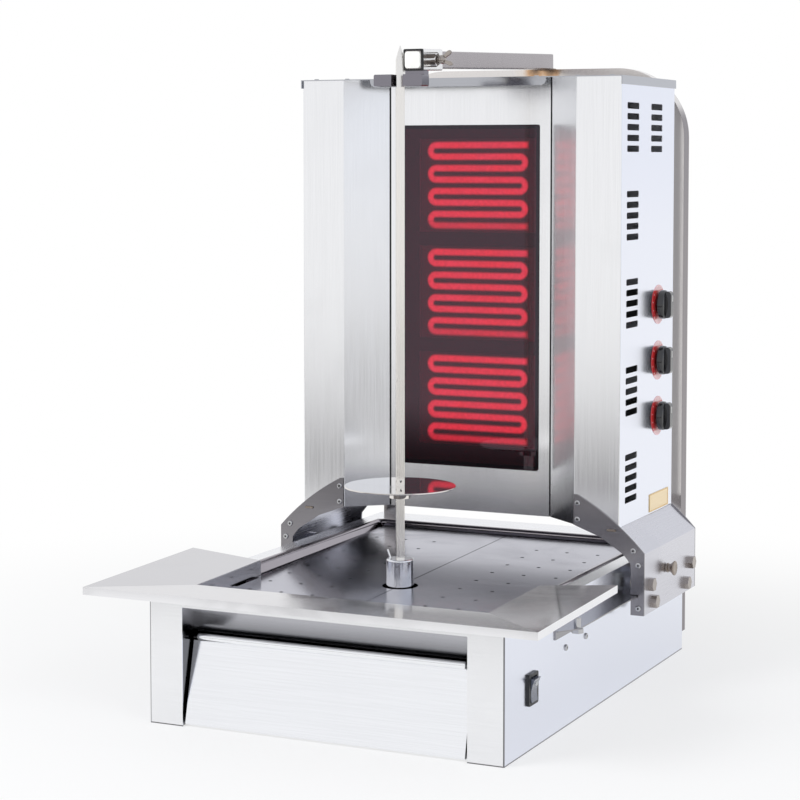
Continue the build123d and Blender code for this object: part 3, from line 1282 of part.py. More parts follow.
def clamp_knob():
    """Flared knob on a threaded rod that presses on the base's side wall."""
    start = CARRIAGE_X + CLAMP_STANDOFF
    end = start + CLAMP_LENGTH
    neck, face, flange = CLAMP_NECK / 2, CLAMP_FACE / 2, CLAMP_FLANGE / 2
    step = start + CLAMP_LENGTH * 0.25
    waist = step + 1
    foot = Polyline((start, 0), (start, flange), (step, flange), (waist, neck))
    flare = Spline((waist, neck), ((waist + end) / 2, neck * 1.15), (end - 1, face))
    rim = Polyline((end - 1, face), (end, face - 0.5), (end, 0), (start, 0))
    section = make_face(list(foot.edges()) + [flare] + list(rim.edges()))
    y, z = fy(CLAMP_PLACE), CLAMP_HEIGHT
    return Pos(0, y, z) * revolve(section, Axis.X) + rod_x(BOLT_DIAMETER / 2, SIDE_X + GAP, start, y, z)


# Rocker switch

def switch_bezel():
    y, z = fy(SWITCH_PLACE), SWITCH_HEIGHT
    w, h = BEZEL_SIZE[0] / 2, BEZEL_SIZE[1] / 2
    frame = box(SIDE_X, SIDE_X + BEZEL_PROUD, y - w, y + w, z - h, z + h)
    frame = fillet(frame.edges().filter_by(Axis.X), BEZEL_CORNER)
    inner_w, inner_h = w - SHEET, h - SHEET
    frame += box(SIDE_X - SWITCH_DEPTH, SIDE_X, y - inner_w, y + inner_w, z - inner_h, z + inner_h)
    well_w, well_h = ROCKER_SIZE[0] / 2 + ROCKER_GAP[0], ROCKER_SIZE[1] / 2 + ROCKER_GAP[1]
    frame -= box(SIDE_X - WELL_DEPTH, SIDE_X + BEZEL_PROUD, y - well_w, y + well_w, z - well_h, z + well_h)
    reach = ROCKER_SIZE[0] / 2 + PIVOT_REACH + GAP
    return frame - rod_y(PIVOT_RADIUS + PIVOT_FIT, y - reach, y + reach, SIDE_X, z)


def switch_rocker():
    """Dished rocker that rests tipped to one side on its pivot pins."""
    y, z = fy(SWITCH_PLACE), SWITCH_HEIGHT
    w, h = ROCKER_SIZE[0] / 2, ROCKER_SIZE[1] / 2
    low = SIDE_X - PIVOT_RADIUS - 1
    high = SIDE_X + BEZEL_PROUD + ROCKER_PROUD
    back = Polyline((high, z + h), (low, z + h - 1), (low, z - h + 1), (high, z - h))
    dish = ThreePointArc((high, z - h), (high - ROCKER_DISH, z), (high, z + h))
    section = make_face(list(back.edges()) + [dish])
    rocker = extrude(Plane.XZ.offset(w - y) * section, 2 * w, dir=(0, 1, 0))
    rocker += rod_y(PIVOT_RADIUS, y - w - PIVOT_REACH, y + w + PIVOT_REACH, SIDE_X, z)
    pivot = Pos(SIDE_X, y, z)
    return pivot * Rot(0, ROCKER_TILT, 0) * pivot.inverse() * rocker


def build_nodes():
    nodes = {
        "base_shell": base_shell(),
        "base_floor": base_floor(),
        "base_rear_panel": base_rear_panel(),
        "base_fixings": base_fixings(),
        "cable_gland": cable_gland(),
        "terminal_block": terminal_block(),
        "drawer_bay_lining": drawer_bay_lining(),
        "drawer_runners": drawer_runners(),
        "carriage_rails": carriage_rails(),
        "switch_bezel": switch_bezel(),
        "switch_rocker": switch_rocker(),
        "drawer_front": drawer_front(),
        "drawer_handle": drawer_handle(),
        "drawer_tray": drawer_tray(),
        "drip_pan": drip_pan(),
        "pan_cover_left": pan_cover(-1),
        "pan_cover_right": pan_cover(1),
        "pan_apron": pan_apron(),
        "motor_crossbar": motor_crossbar(),
        "gearbox": gearbox(),
        "spindle_bearing": spindle_bearing(),
        "drive_motor": drive_motor(),
        "spindle_shaft": spindle_shaft(),
        "spindle_collar": spindle_collar(),
        "skewer": skewer(),
        "locking_pin": locking_pin(),
        "meat_disc": meat_disc(),
        "disc_set_screw": disc_set_screw(),
        "support_frame": support_frame(),
        "holder_arm": holder_arm(),
        "arm_end_cap": arm_end_cap(),
        "holder_sleeve": holder_sleeve(),
        "sleeve_liner": sleeve_liner(),
        "skewer_guide": skewer_guide(),
        "wing_bolt": wing_bolt(),
        "head_side_left": head_side(-1),
        "head_side_right": head_side(1),
        "centre_panel": centre_panel(),
        "ceramic_glass": ceramic_glass(),
        "heating_elements": heating_elements(),
        "insulation_boards": insulation_boards(),
        "heater_trays": heater_trays(),
        "head_lid": head_lid(),
        "head_rear_panel": head_rear_panel(),
        "head_fixings": head_fixings(),
        "blank_plate": blank_plate(),
        "energy_regulators": energy_regulators(),
        "dial_rings": dial_rings(),
        "carriage_brackets": brackets(),
        "carriage_sides": both_sides(carriage_side()),
        "roller_bolts": roller_bolts(),
        "clamp_knob": clamp_knob(),
    }
    for name, z in zip(KNOB_NAMES, KNOB_HEIGHTS):
        nodes[name] = control_knob(z)
    for name, (place, z) in zip(ROLLER_NAMES, roller_places()):
        nodes[name] = carriage_rollers(place, z)
    return nodes


os.makedirs("parts", exist_ok=True)
for name, shape in build_nodes().items():
    export_step(shape, f"parts/{name}.step")
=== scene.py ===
import math

import bmesh
import bpy
from mathutils import Matrix, Vector


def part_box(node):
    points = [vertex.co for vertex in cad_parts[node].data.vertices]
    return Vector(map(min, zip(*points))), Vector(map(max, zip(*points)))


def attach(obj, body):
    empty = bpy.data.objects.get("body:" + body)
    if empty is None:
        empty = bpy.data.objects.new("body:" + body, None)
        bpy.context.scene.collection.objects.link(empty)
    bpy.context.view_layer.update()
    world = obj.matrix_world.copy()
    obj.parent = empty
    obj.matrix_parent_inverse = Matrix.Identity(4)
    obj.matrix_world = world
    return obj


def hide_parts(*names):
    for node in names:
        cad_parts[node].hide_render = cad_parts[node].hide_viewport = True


# Vertical kebab grill: finishes, fine pieces, studio light and camera, in metres.

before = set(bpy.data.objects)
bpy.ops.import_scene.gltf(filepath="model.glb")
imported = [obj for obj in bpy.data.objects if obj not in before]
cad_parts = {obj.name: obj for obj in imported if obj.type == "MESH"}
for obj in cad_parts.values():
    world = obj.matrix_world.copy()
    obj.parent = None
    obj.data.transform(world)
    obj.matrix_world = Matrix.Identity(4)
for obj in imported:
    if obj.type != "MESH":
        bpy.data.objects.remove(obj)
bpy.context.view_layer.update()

# Camera, matched to the photograph
CAMERA_PLACE = (1.1041, -2.4583, 0.6637)
CAMERA_AZIMUTH = 25.12
CAMERA_PITCH = 3.77
CAMERA_SHIFT = -0.125
FOCAL_PIXELS = 2157.0
PHOTO_PIXELS = 800.0
SENSOR_WIDTH = 36.0


def middle(name):
    """Centre of a CAD node's box."""
    low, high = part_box(name)
    return (Vector(low) + Vector(high)) / 2


# Building materials

class Nodes:
    """Adds and links shader nodes in one node tree."""

    def __init__(self, tree):
        self.tree = tree

    def node(self, kind, inputs=None, **settings):
        made = self.tree.nodes.new("ShaderNode" + kind)
        for name, value in settings.items():
            setattr(made, name, value)
        for name, value in (inputs or {}).items():
            self.feed(made.inputs[name], value)
        return made

    def feed(self, socket, value):
        if isinstance(value, bpy.types.NodeSocket):
            self.tree.links.new(value, socket)
        else:
            socket.default_value = value

    def remap(self, value, low, high, to_low, to_high, smooth=True):
        inputs = {"Value": value, "From Min": low, "From Max": high, "To Min": to_low, "To Max": to_high}
        kind = "SMOOTHSTEP" if smooth else "LINEAR"
        return self.node("MapRange", inputs, interpolation_type=kind).outputs["Result"]

    def math(self, operation, first, second=0.0, clamp=False):
        made = self.node("Math", operation=operation, use_clamp=clamp)
        self.feed(made.inputs[0], first)
        self.feed(made.inputs[1], second)
        return made.outputs["Value"]

    def mix(self, factor, first, second, blend="MIX"):
        made = self.node("Mix", data_type="RGBA", blend_type=blend)
        self.feed(made.inputs["Factor"], factor)
        self.feed(made.inputs["A"], first)
        self.feed(made.inputs["B"], second)
        return made.outputs["Result"]

    def blend(self, factor, first, second, target):
        """Mixes two shaders and sends the result to a socket."""
        made = self.node("MixShader")
        for socket, value in zip(made.inputs, (factor, first, second)):
            self.feed(socket, value)
        self.feed(target, made.outputs["Shader"])


class Graph(Nodes):
    """One procedural material while its nodes are put together."""

    def __init__(self, name):
        self.material = bpy.data.materials.new(name)
        self.material.use_nodes = True
        super().__init__(self.material.node_tree)
        self.shader = self.tree.nodes["Principled BSDF"]
        self.coords = self.node("TexCoord").outputs["Object"]
        self.place = self.node("SeparateXYZ", {"Vector": self.coords}).outputs

    def set(self, **values):
        for name, value in values.items():
            self.feed(self.shader.inputs[name.replace("_", " ")], value)

    def noise(self, scales, detail=3.0, roughness=0.55, distortion=0.0):
        scaled = self.node("Mapping", {"Vector": self.coords, "Scale": scales}).outputs["Vector"]
        inputs = {"Vector": scaled, "Scale": 1.0, "Detail": detail,
                  "Roughness": roughness, "Distortion": distortion}
        return self.node("TexNoise", inputs).outputs["Fac"]

    def bump(self, height, distance, normal=None):
        made = self.node("Bump", {"Height": height, "Distance": distance, "Strength": 1.0})
        if normal is not None:
            self.feed(made.inputs["Normal"], normal)
        return made.outputs["Normal"]

    def facing(self, axis, start, end):
        """1 where the surface faces along the axis, either way, and 0 where it turns off it."""
        normal = self.node("NewGeometry").outputs["Normal"]
        part = self.node("SeparateXYZ", {"Vector": normal}).outputs[axis]
        return self.remap(self.math("ABSOLUTE", part), start, end, 0.0, 1.0)

    def beside(self, value, target, inner, outer):
        """1 where a value is within inner of the target, 0 past outer."""
        off = self.math("ABSOLUTE", self.math("SUBTRACT", value, target))
        return self.remap(off, inner, outer, 1.0, 0.0)

    def distance_to(self, point):
        made = self.node("VectorMath", operation="DISTANCE")
        self.feed(made.inputs[0], self.coords)
        made.inputs[1].default_value = point
        return made.outputs["Value"]


def rgb(red, green, blue):
    return (red, green, blue, 1.0)


WHITE = rgb(1.0, 1.0, 1.0)

# Noise scales per metre, bump heights in metres and shares of a colour
GRAIN_LENGTH = 9.0
GRAIN_WIDTH = 950.0
GRAIN_HEIGHT = 0.00002
GRAIN_SHADE = 0.955
WAVE_HEIGHT = 0.01
SHEET_WAVES = (3.2, 2.6, 3.6)
SHEET_SMEARS = (7.0, 7.0, 5.0)
MIRROR_WIPES = (6.0, 9.0, 6.0)
MIRROR_WAVES = (4.0, 4.0, 4.0)
MIRROR_SHADE = 0.9
MIRROR_DULLING = 0.10
METAL_PATCHES = (40.0, 40.0, 40.0)
METAL_SHADE = 0.82
PLASTIC_RUBS = (70.0, 70.0, 70.0)
PIT_HEIGHT = 0.00005


def grain_scales(along):
    return tuple(GRAIN_LENGTH if axis == along else GRAIN_WIDTH for axis in "XYZ")


def steel(name, along="X", colour=(0.90, 0.905, 0.92), roughness=0.22, grain=0.05, waves=0.1, spread=0.05,
          painted_light=None):
    """Stainless sheet: fine grain along one axis, faint waves and hand marks; painted_light adds painted
    shade and painted reflection in some places.
    """
    g = Graph(name)
    lines = g.noise(grain_scales(along), 4.0, 0.65)
    smears = g.noise(SHEET_SMEARS, 4.0, 0.6, 0.8)
    fine = g.remap(lines, 0.3, 0.7, -1.0, 1.0, False)
    rough = g.math("MULTIPLY_ADD", fine, spread * 0.5)
    rough.node.inputs[2].default_value = roughness
    marks = g.remap(smears, 0.45, 0.75, 0.0, spread)
    dark = tuple(channel * GRAIN_SHADE for channel in colour)
    shade = g.mix(g.remap(lines, 0.35, 0.65, 0.0, 1.0), rgb(*dark), rgb(*colour))
    soft = g.mix(g.remap(smears, 0.4, 0.8, 0.0, 0.5), shade, rgb(*dark))
    wavy = g.bump(g.noise(SHEET_WAVES, 1.0, 0.4), waves * WAVE_HEIGHT)
    # Painted shade and painted reflection go in here when painted_light is given.
    if painted_light is not None:
        soft = painted_light(g, soft)
    g.set(Base_Color=soft, Metallic=1.0, Roughness=g.math("ADD", rough, marks),
          Normal=g.bump(lines, grain * GRAIN_HEIGHT, wavy))
    return g.material


def mirror_steel(name, colour=(0.72, 0.72, 0.74), roughness=0.07, waves=0.1, painted_light=None):
    """Bright-rolled sheet: nearly a mirror, with slow waves and dull wiped patches."""
    g = Graph(name)
    wiped = g.noise(MIRROR_WIPES, 5.0, 0.6, 1.2)
    rough = g.remap(wiped, 0.42, 0.8, roughness, roughness + MIRROR_DULLING)
    rolls = g.noise(MIRROR_WAVES, 1.0, 0.4)
    dull = tuple(channel * MIRROR_SHADE for channel in colour)
    shade = g.mix(g.remap(wiped, 0.4, 0.75, 0.0, 0.5), rgb(*colour), rgb(*dull))
    # Painted reflection is mixed in here when painted_light is given.
    if painted_light is not None:
        shade = painted_light(g, shade)
    g.set(Base_Color=shade, Metallic=1.0, Roughness=rough, Normal=g.bump(rolls, waves * WAVE_HEIGHT))
    return g.material


def darker(g, mask, shade, colour):
    """Mixes a darker colour into a shade where the mask is 1."""
    return g.mix(mask, shade, rgb(*colour))


# Colours, places and widths of painted shade and painted reflection on the steels
PAINTED_SIDE_REFLECTION = rgb(0.83, 0.855, 0.94)
PAINTED_EDGE_SHADE = (0.16, 0.155, 0.165)
PAINTED_FOOT_SHADE = (0.20, 0.195, 0.205)
PAINTED_SEAM_SHADE = (0.05, 0.05, 0.055)
PAINTED_APRON_REFLECTION = (0.64, 0.63, 0.64)
PAINTED_HOOD_SHADE = (0.10, 0.10, 0.105)
PAINTED_LEG_SHADE = (0.20, 0.18, 0.19)
EDGE_LINE = (0.0008, 0.0018)
SEAM_LINE = (0.0007, 0.0016)
SEAM_PLACE = 0.1130
REFLECTOR_REACH = 0.1615
PANEL_FOOT = 0.204
PANEL_FADE = 0.075
PANEL_DIMMING = 0.72
HOOD_FADE = 0.036


def paint_side_reflection(g, shade):
    """Painted reflection: the right and left walls get a cooler colour, as if mirroring the cooler ends of
    the room.
    """
    return g.mix(g.facing("X", 0.7, 0.95), shade, PAINTED_SIDE_REFLECTION)


def base_painted_shade(g, shade):
    """Painted shade: dark lines along the casing's front corners and its bottom edge, with the painted side
    reflection.
    """
    low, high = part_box("base_shell")
    across = g.math("SUBTRACT", g.math("ABSOLUTE", g.place["X"]), high[0])
    along = g.math("SUBTRACT", g.place["Y"], low[1])
    square = g.math("ADD", g.math("POWER", across, 2.0), g.math("POWER", along, 2.0))
    # Painted shade along the front corners and along the bottom edge.
    corner = g.remap(g.math("SQRT", square), *EDGE_LINE, 1.0, 0.0)
    foot = g.remap(g.place["Z"], *EDGE_LINE, 1.0, 0.0)
    shade = paint_side_reflection(g, shade)
    return darker(g, g.math("MAXIMUM", corner, foot), shade, PAINTED_EDGE_SHADE)


def head_painted_shade(g, shade):
    """Painted shade: dark seams beside the middle panel, and the dim foot of the panel and its reflectors;
    with the painted side reflection.
    """
    across = g.math("ABSOLUTE", g.place["X"])
    shade = paint_side_reflection(g, shade)
    seam = g.beside(across, SEAM_PLACE, *SEAM_LINE)
    inner = g.remap(across, REFLECTOR_REACH - 0.001, REFLECTOR_REACH, 1.0, 0.0)
    # Painted shade, fading up from the foot of the panel and its reflectors.
    fade = g.remap(g.place["Z"], PANEL_FOOT, PANEL_FOOT + PANEL_FADE, PANEL_DIMMING, 0.0)
    shade = darker(g, g.math("MULTIPLY", inner, fade), shade, PAINTED_FOOT_SHADE)
    return darker(g, seam, shade, PAINTED_SEAM_SHADE)


def apron_painted_reflection(g, shade):
    """Painted reflection: flat tops are darkened as if mirroring the dim room above, upright lips stay
    bright.
    """
    return darker(g, g.facing("Z", 0.45, 0.8), shade, PAINTED_APRON_REFLECTION)


def lining_painted_shade(g, shade):
    """Painted shade: the grip's hood darkens towards its foot."""
    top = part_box("drawer_handle")[1][2]
    fade = g.remap(g.place["Z"], top, top + HOOD_FADE, 0.85, 0.25)
    return darker(g, fade, shade, PAINTED_HOOD_SHADE)


def plain_metal(name, colour, roughness, pits=0.3, scale=400.0):
    """Turned, plated or cast metal with a fine even skin."""
    g = Graph(name)
    skin = g.noise((scale, scale, scale), 4.0, 0.6)
    patches = g.noise(METAL_PATCHES, 3.0, 0.5)
    dull = tuple(channel * METAL_SHADE for channel in colour)
    shade = g.mix(g.remap(patches, 0.35, 0.7, 0.0, 0.6), rgb(*colour), rgb(*dull))
    rough = g.remap(skin, 0.3, 0.7, roughness * 0.8, roughness * 1.25)
    g.set(Base_Color=shade, Metallic=1.0, Roughness=rough, Normal=g.bump(skin, pits * PIT_HEIGHT))
    return g.material


def plastic(name, colour, roughness, speckle=0.2, scale=900.0, coat=0.0):
    """Moulded plastic with a fine texture and rubbed spots."""
    g = Graph(name)
    skin = g.noise((scale, scale, scale), 2.0, 0.5)
    rub = g.noise(PLASTIC_RUBS, 3.0, 0.6)
    pale = tuple(min(1.0, channel * 1.12 + 0.006) for channel in colour)
    shade = g.mix(g.remap(rub, 0.45, 0.75, 0.0, 0.7), rgb(*colour), rgb(*pale))
    g.set(Base_Color=shade, Roughness=g.remap(rub, 0.35, 0.7, roughness * 0.85, roughness * 1.2),
          Normal=g.bump(skin, speckle * PIT_HEIGHT), Coat_Weight=coat, Coat_Roughness=0.06)
    return g.material


def ceramic_glass_material():
    """Dark red-tinted glass ceramic that lets the heaters' glow through."""
    g = Graph("dark_glass")
    film = g.noise((14.0, 14.0, 9.0), 5.0, 0.6, 0.7)
    g.set(Base_Color=rgb(0.42, 0.05, 0.10), Transmission_Weight=1.0, IOR=1.58,
          Specular_Tint=rgb(0.92, 0.84, 1.0), Roughness=g.remap(film, 0.45, 0.8, 0.0, 0.02))
    return g.material


def hot_ribbon_material():
    """Glowing heater strip: hottest along its middle line, dim at its edges and free ends."""
    g = Graph("hot_ribbon")
    drift = g.noise((22.0, 1.0, 30.0), 3.0, 0.6)
    ripple = g.noise((260.0, 20.0, 260.0), 2.0, 0.5)
    heat = g.node("Attribute", attribute_name="ribbon_heat").outputs["Fac"]
    glow = g.mix(g.remap(drift, 0.3, 0.7, 0.0, 1.0), rgb(1.0, 0.20, 0.22), rgb(1.0, 0.30, 0.34))
    strength = g.math("MULTIPLY", g.remap(ripple, 0.3, 0.7, 1.45, 1.85), g.remap(heat, 0.0, 1.0, 0.12, 1.0))
    g.set(Base_Color=rgb(0.15, 0.03, 0.02), Roughness=0.6, Emission_Color=glow, Emission_Strength=strength)
    return g.material


def dial_material():
    """Red translucent dial disc: pale pink, with painted shade of deep red in the band level with each
    knob.
    """
    g = Graph("dial_red")
    low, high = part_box("control_knob_upper")
    half = (high[2] - low[2]) / 2
    # Painted shade: deep red in each band level with a knob.
    behind = None
    for name in KNOBS:
        mask = g.beside(g.place["Z"], middle(name)[2], half - 0.0012, half + 0.0012)
        behind = mask if behind is None else g.math("MAXIMUM", behind, mask)
    cloud = g.noise((160.0, 160.0, 160.0), 2.0, 0.5)
    pale = g.mix(cloud, rgb(0.86, 0.42, 0.44), rgb(0.95, 0.60, 0.62))
    deep = g.mix(cloud, rgb(0.50, 0.02, 0.025), rgb(0.66, 0.035, 0.035))
    g.set(Base_Color=g.mix(behind, pale, deep), Roughness=0.22, Coat_Weight=0.5, Coat_Roughness=0.05)
    return g.material


def board_material():
    g = Graph("board")
    fibre = g.noise((300.0, 300.0, 300.0), 5.0, 0.7)
    g.set(Base_Color=g.mix(fibre, rgb(0.17, 0.14, 0.19), rgb(0.28, 0.24, 0.30)), Roughness=0.95,
          Normal=g.bump(fibre, 0.0004))
    return g.material


HEAT_TINTS = ((0.0, (0.12, 0.09, 0.08)), (0.006, (0.30, 0.20, 0.13)), (0.012, (0.62, 0.40, 0.24)),
              (0.020, (0.78, 0.72, 0.66)), (0.032, (0.76, 0.73, 0.71)))
TINT_FRAY = 0.007


def frame_tube_material(spots):
    """Drawn tube with the straw and brown heat tint beside its welds, and painted shade on its sideways
    faces.
    """
    g = Graph("frame_tube")
    lines = g.noise((500.0, 500.0, 14.0), 3.0, 0.6)
    near = None
    for spot in spots:
        reach = g.distance_to(spot)
        near = reach if near is None else g.math("MINIMUM", near, reach)
    fray = g.remap(g.noise((90.0, 90.0, 90.0), 4.0, 0.6), 0.0, 1.0, -TINT_FRAY, TINT_FRAY, False)
    ragged = g.math("ADD", near, fray)
    reach = HEAT_TINTS[-1][0]
    ramp = g.node("ValToRGB", {"Fac": g.remap(ragged, 0.0, reach, 0.0, 1.0, False)})
    stops = ramp.color_ramp.elements
    for index, (place, tint) in enumerate(HEAT_TINTS):
        share = place / reach
        stop = stops[index] if index < 1 else stops.new(share) if index < len(HEAT_TINTS) - 1 else stops[-1]
        stop.position = share
        stop.color = rgb(*tint)
    # Painted shade on the faces that look sideways.
    shade = darker(g, g.facing("X", 0.86, 0.97), ramp.outputs["Color"], PAINTED_LEG_SHADE)
    g.set(Base_Color=shade, Metallic=1.0, Roughness=g.remap(lines, 0.3, 0.7, 0.14, 0.2),
          Normal=g.bump(lines, 0.000001))
    return g.material


def gold_plate_material():
    g = Graph("blank_plate")
    lines = g.noise((20.0, 20.0, 1200.0), 3.0, 0.6)
    g.set(Base_Color=g.mix(lines, rgb(0.86, 0.66, 0.38), rgb(0.95, 0.80, 0.55)), Metallic=0.55,
          Roughness=0.32, Normal=g.bump(lines, 0.00001))
    return g.material


# Finishes of the CAD nodes

KNOBS = ("control_knob_upper", "control_knob_middle", "control_knob_lower")

base_front = steel("base_steel", "X", roughness=0.20, painted_light=base_painted_shade)
side_steel = steel("rail_steel", "Y", roughness=0.20, colour=(0.34, 0.335, 0.35))
head_steel = steel("head_steel", "Z", roughness=0.20, painted_light=head_painted_shade)
lid_steel = steel("lid_steel", "X", roughness=0.10, colour=(0.46, 0.47, 0.50))
inner_steel = steel("inner_steel", "Y", roughness=0.42, colour=(0.50, 0.50, 0.52))
pan_steel = mirror_steel("pan_steel", (0.38, 0.35, 0.37), 0.10)
cover_steel = mirror_steel("cover_steel", (0.42, 0.42, 0.48), 0.15)
apron_steel = mirror_steel("apron_steel", (0.90, 0.90, 0.92), 0.10, painted_light=apron_painted_reflection)
drawer_steel = steel("drawer_steel", "X", roughness=0.14, grain=0.015, spread=0.02,
                     colour=(0.92, 0.93, 0.95))
lining_steel = steel("lining_steel", "X", colour=(0.62, 0.62, 0.65), roughness=0.16, painted_light=lining_painted_shade)
arm_steel = steel("arm_steel", "Y", roughness=0.26, colour=(0.42, 0.39, 0.395))
sleeve_steel = steel("sleeve_steel", "Y", roughness=0.24, colour=(0.92, 0.91, 0.90))
guide_steel = steel("guide_steel", "X", roughness=0.22, colour=(0.24, 0.23, 0.26))
bracket_steel = steel("bracket_steel", "X", roughness=0.20, colour=(0.28, 0.27, 0.285))
carriage_steel = steel("carriage_steel", "Y", roughness=0.26, colour=(0.66, 0.66, 0.71))
skewer_steel = steel("skewer_steel", "Z", roughness=0.24, colour=(0.90, 0.87, 0.82), waves=0.3, spread=0.1)
disc_steel = mirror_steel("disc_steel", (0.80, 0.77, 0.74), 0.03, 0.03)
bronze = plain_metal("bronze", (0.33, 0.28, 0.24), 0.28, 0.8, 300.0)
chrome = plain_metal("chrome", (0.82, 0.83, 0.85), 0.05, 0.05)
zinc = plain_metal("zinc", (0.40, 0.36, 0.33), 0.24)
rivet_metal = plain_metal("rivet_metal", (0.52, 0.52, 0.53), 0.18)
dark_nut = plain_metal("dark_nut", (0.13, 0.11, 0.10), 0.32, 1.0, 260.0)
# Near-black painted shade for the hollows of rivets and holes.
painted_hole_shade = plain_metal("painted_hole_shade", (0.02, 0.02, 0.022), 0.5)
cast_alloy = plain_metal("cast_alloy", (0.45, 0.46, 0.48), 0.5, 2.0, 250.0)
bearing_steel = plain_metal("bearing_steel", (0.66, 0.66, 0.67), 0.2)
black_plastic = plastic("black_plastic", (0.012, 0.012, 0.013), 0.42)
gloss_black = plastic("gloss_black", (0.006, 0.006, 0.008), 0.16, 0.05, 900.0, 0.6)
white_plastic = plastic("white_plastic", (0.84, 0.84, 0.80), 0.4)
dial_red = dial_material()
mark_white = plastic("mark_white", (0.80, 0.80, 0.78), 0.4)
# Near-black painted shade for the sheet behind the heater glass.
painted_shade_board = plastic("painted_shade_board", (0.018, 0.016, 0.02), 0.9)
switch_plastic = plastic("switch_plastic", (0.10, 0.11, 0.15), 0.2, 0.05, 900.0, 0.5)
glass = ceramic_glass_material()
ribbon = hot_ribbon_material()
board = board_material()
motor_paint = plastic("motor_paint", (0.06, 0.065, 0.07), 0.45, 0.6, 500.0)
gold_plate = gold_plate_material()
gold_rim = plain_metal("gold_rim", (0.80, 0.58, 0.28), 0.3)

arm_low, arm_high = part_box("holder_arm")
frame_low, frame_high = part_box("support_frame")
weld_spots = [(x, frame_low[1] + 0.004, frame_high[2]) for x in (arm_low[0], arm_high[0])]
frame_tube = frame_tube_material(weld_spots)

FINISHES = {
    base_front: ("base_shell",),
    inner_steel: ("base_floor", "base_rear_panel", "drawer_runners", "motor_crossbar", "drawer_tray",
                  "heater_trays", "head_rear_panel"),
    side_steel: ("carriage_rails",),
    head_steel: ("head_side_left", "head_side_right", "centre_panel"),
    lid_steel: ("head_lid",),
    drawer_steel: ("drawer_front", "drawer_handle"),
    lining_steel: ("drawer_bay_lining",),
    pan_steel: ("drip_pan",),
    cover_steel: ("pan_cover_left", "pan_cover_right"),
    apron_steel: ("pan_apron",),
    arm_steel: ("holder_arm",),
    sleeve_steel: ("holder_sleeve",),
    guide_steel: ("skewer_guide",),
    frame_tube: ("support_frame",),
    bracket_steel: ("carriage_brackets",),
    carriage_steel: ("carriage_sides",),
    skewer_steel: ("skewer",),
    disc_steel: ("meat_disc",),
    chrome: ("spindle_collar", "locking_pin", "disc_set_screw"),
    zinc: ("roller_bolts",),
    rivet_metal: ("base_fixings", "head_fixings"),
    cast_alloy: ("gearbox",),
    bearing_steel: ("spindle_bearing", "spindle_shaft"),
    # Black on the sleeve liner is painted shade for the dark gap round the arm.
    black_plastic: ("cable_gland", "sleeve_liner", "energy_regulators", "switch_bezel"),
    white_plastic: ("arm_end_cap", "terminal_block", "rollers_upper_front", "rollers_upper_rear",
                    "rollers_lower_front", "rollers_lower_rear"),
    dial_red: ("dial_rings",),
    switch_plastic: ("switch_rocker",),
    glass: ("ceramic_glass",),
    board: ("insulation_boards",),
    motor_paint: ("drive_motor",),
    gold_plate: ("blank_plate",),
}

for finish, names in FINISHES.items():
    for name in names:
        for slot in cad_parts[name].material_slots:
            slot.material = finish


# Pieces made here

def add_piece(name, build, finish, body, smooth=True, bevel=0.0):
    """Turns a bmesh into an object that rides on a body."""
    mesh = bpy.data.meshes.new(name)
    bmesh.ops.recalc_face_normals(build, faces=build.faces)
    build.to_mesh(mesh)
    build.free()
    for face in mesh.polygons:
        face.use_smooth = smooth
    mesh.materials.append(finish)
    piece = bpy.data.objects.new(name, mesh)
    bpy.context.scene.collection.objects.link(piece)
    if bevel:
        rounding = piece.modifiers.new("rounding", "BEVEL")
        rounding.width = bevel
        rounding.segments = ROUNDING_STEPS
        rounding.limit_method = "ANGLE"
    if smooth:
        mesh.set_sharp_from_angle(angle=math.radians(SMOOTH_ANGLE))
    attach(piece, body)
    return piece


ROUND_STEPS = 40
ROUNDING_STEPS = 3
SMOOTH_ANGLE = 40.0


def add_turned(build, profile, place, axis="X", turn=0.0, steps=ROUND_STEPS):
    """Turns a profile of (along, radius) points round an axis through a place."""
    rings = []
    for along, radius in profile:
        ring = []
        for step in range(steps):
            angle = turn + 2 * math.pi * step / steps
            first, second = radius * math.cos(angle), radius * math.sin(angle)
            offset = {"X": (along, first, second), "Y": (first, along, second)}[axis]
            ring.append(build.verts.new(Vector(place) + Vector(offset)))
        rings.append(ring)
    for one, two in zip(rings, rings[1:]):
        for step in range(steps):
            nearby = (step + 1) % steps
            build.faces.new((one[step], one[nearby], two[nearby], two[step]))
    build.faces.new(rings[0])
    build.faces.new(reversed(rings[-1]))


def add_box(build, low, high):
    corners = bmesh.ops.create_cube(build, size=1.0)["verts"]
    low, high = Vector(low), Vector(high)
    for corner in corners:
        share = corner.co + Vector((0.5, 0.5, 0.5))
        corner.co = Vector(low[axis] + share[axis] * (high[axis] - low[axis]) for axis in range(3))


def add_outline(build, outline, thickness, place, turn):
    """Extrudes a flat outline of (first, second) points to both sides, turns it and puts it in place."""
    fronts = [build.verts.new(place + turn @ Vector((a, -thickness / 2, b))) for a, b in outline]
    backs = [build.verts.new(place + turn @ Vector((a, thickness / 2, b))) for a, b in outline]
    build.faces.new(fronts)
    build.faces.new(reversed(backs))
    for index in range(len(outline)):
        after = (index + 1) % len(outline)
        build.faces.new((fronts[index], backs[index], backs[after], fronts[after]))


def rounded_outline(width, height, radius, steps=6):
    """Points of a rounded rectangle about its middle."""
    points = []
    for quarter, (sx, sz) in enumerate(((1, 1), (-1, 1), (-1, -1), (1, -1))):
        for step in range(steps + 1):
            angle = math.pi / 2 * (quarter + step / steps)
            points.append((sx * (width / 2 - radius) + radius * math.cos(angle),
                           sz * (height / 2 - radius) + radius * math.sin(angle)))
    return points


# Heaters: glowing ribbons and the dark sheet of painted shade round them

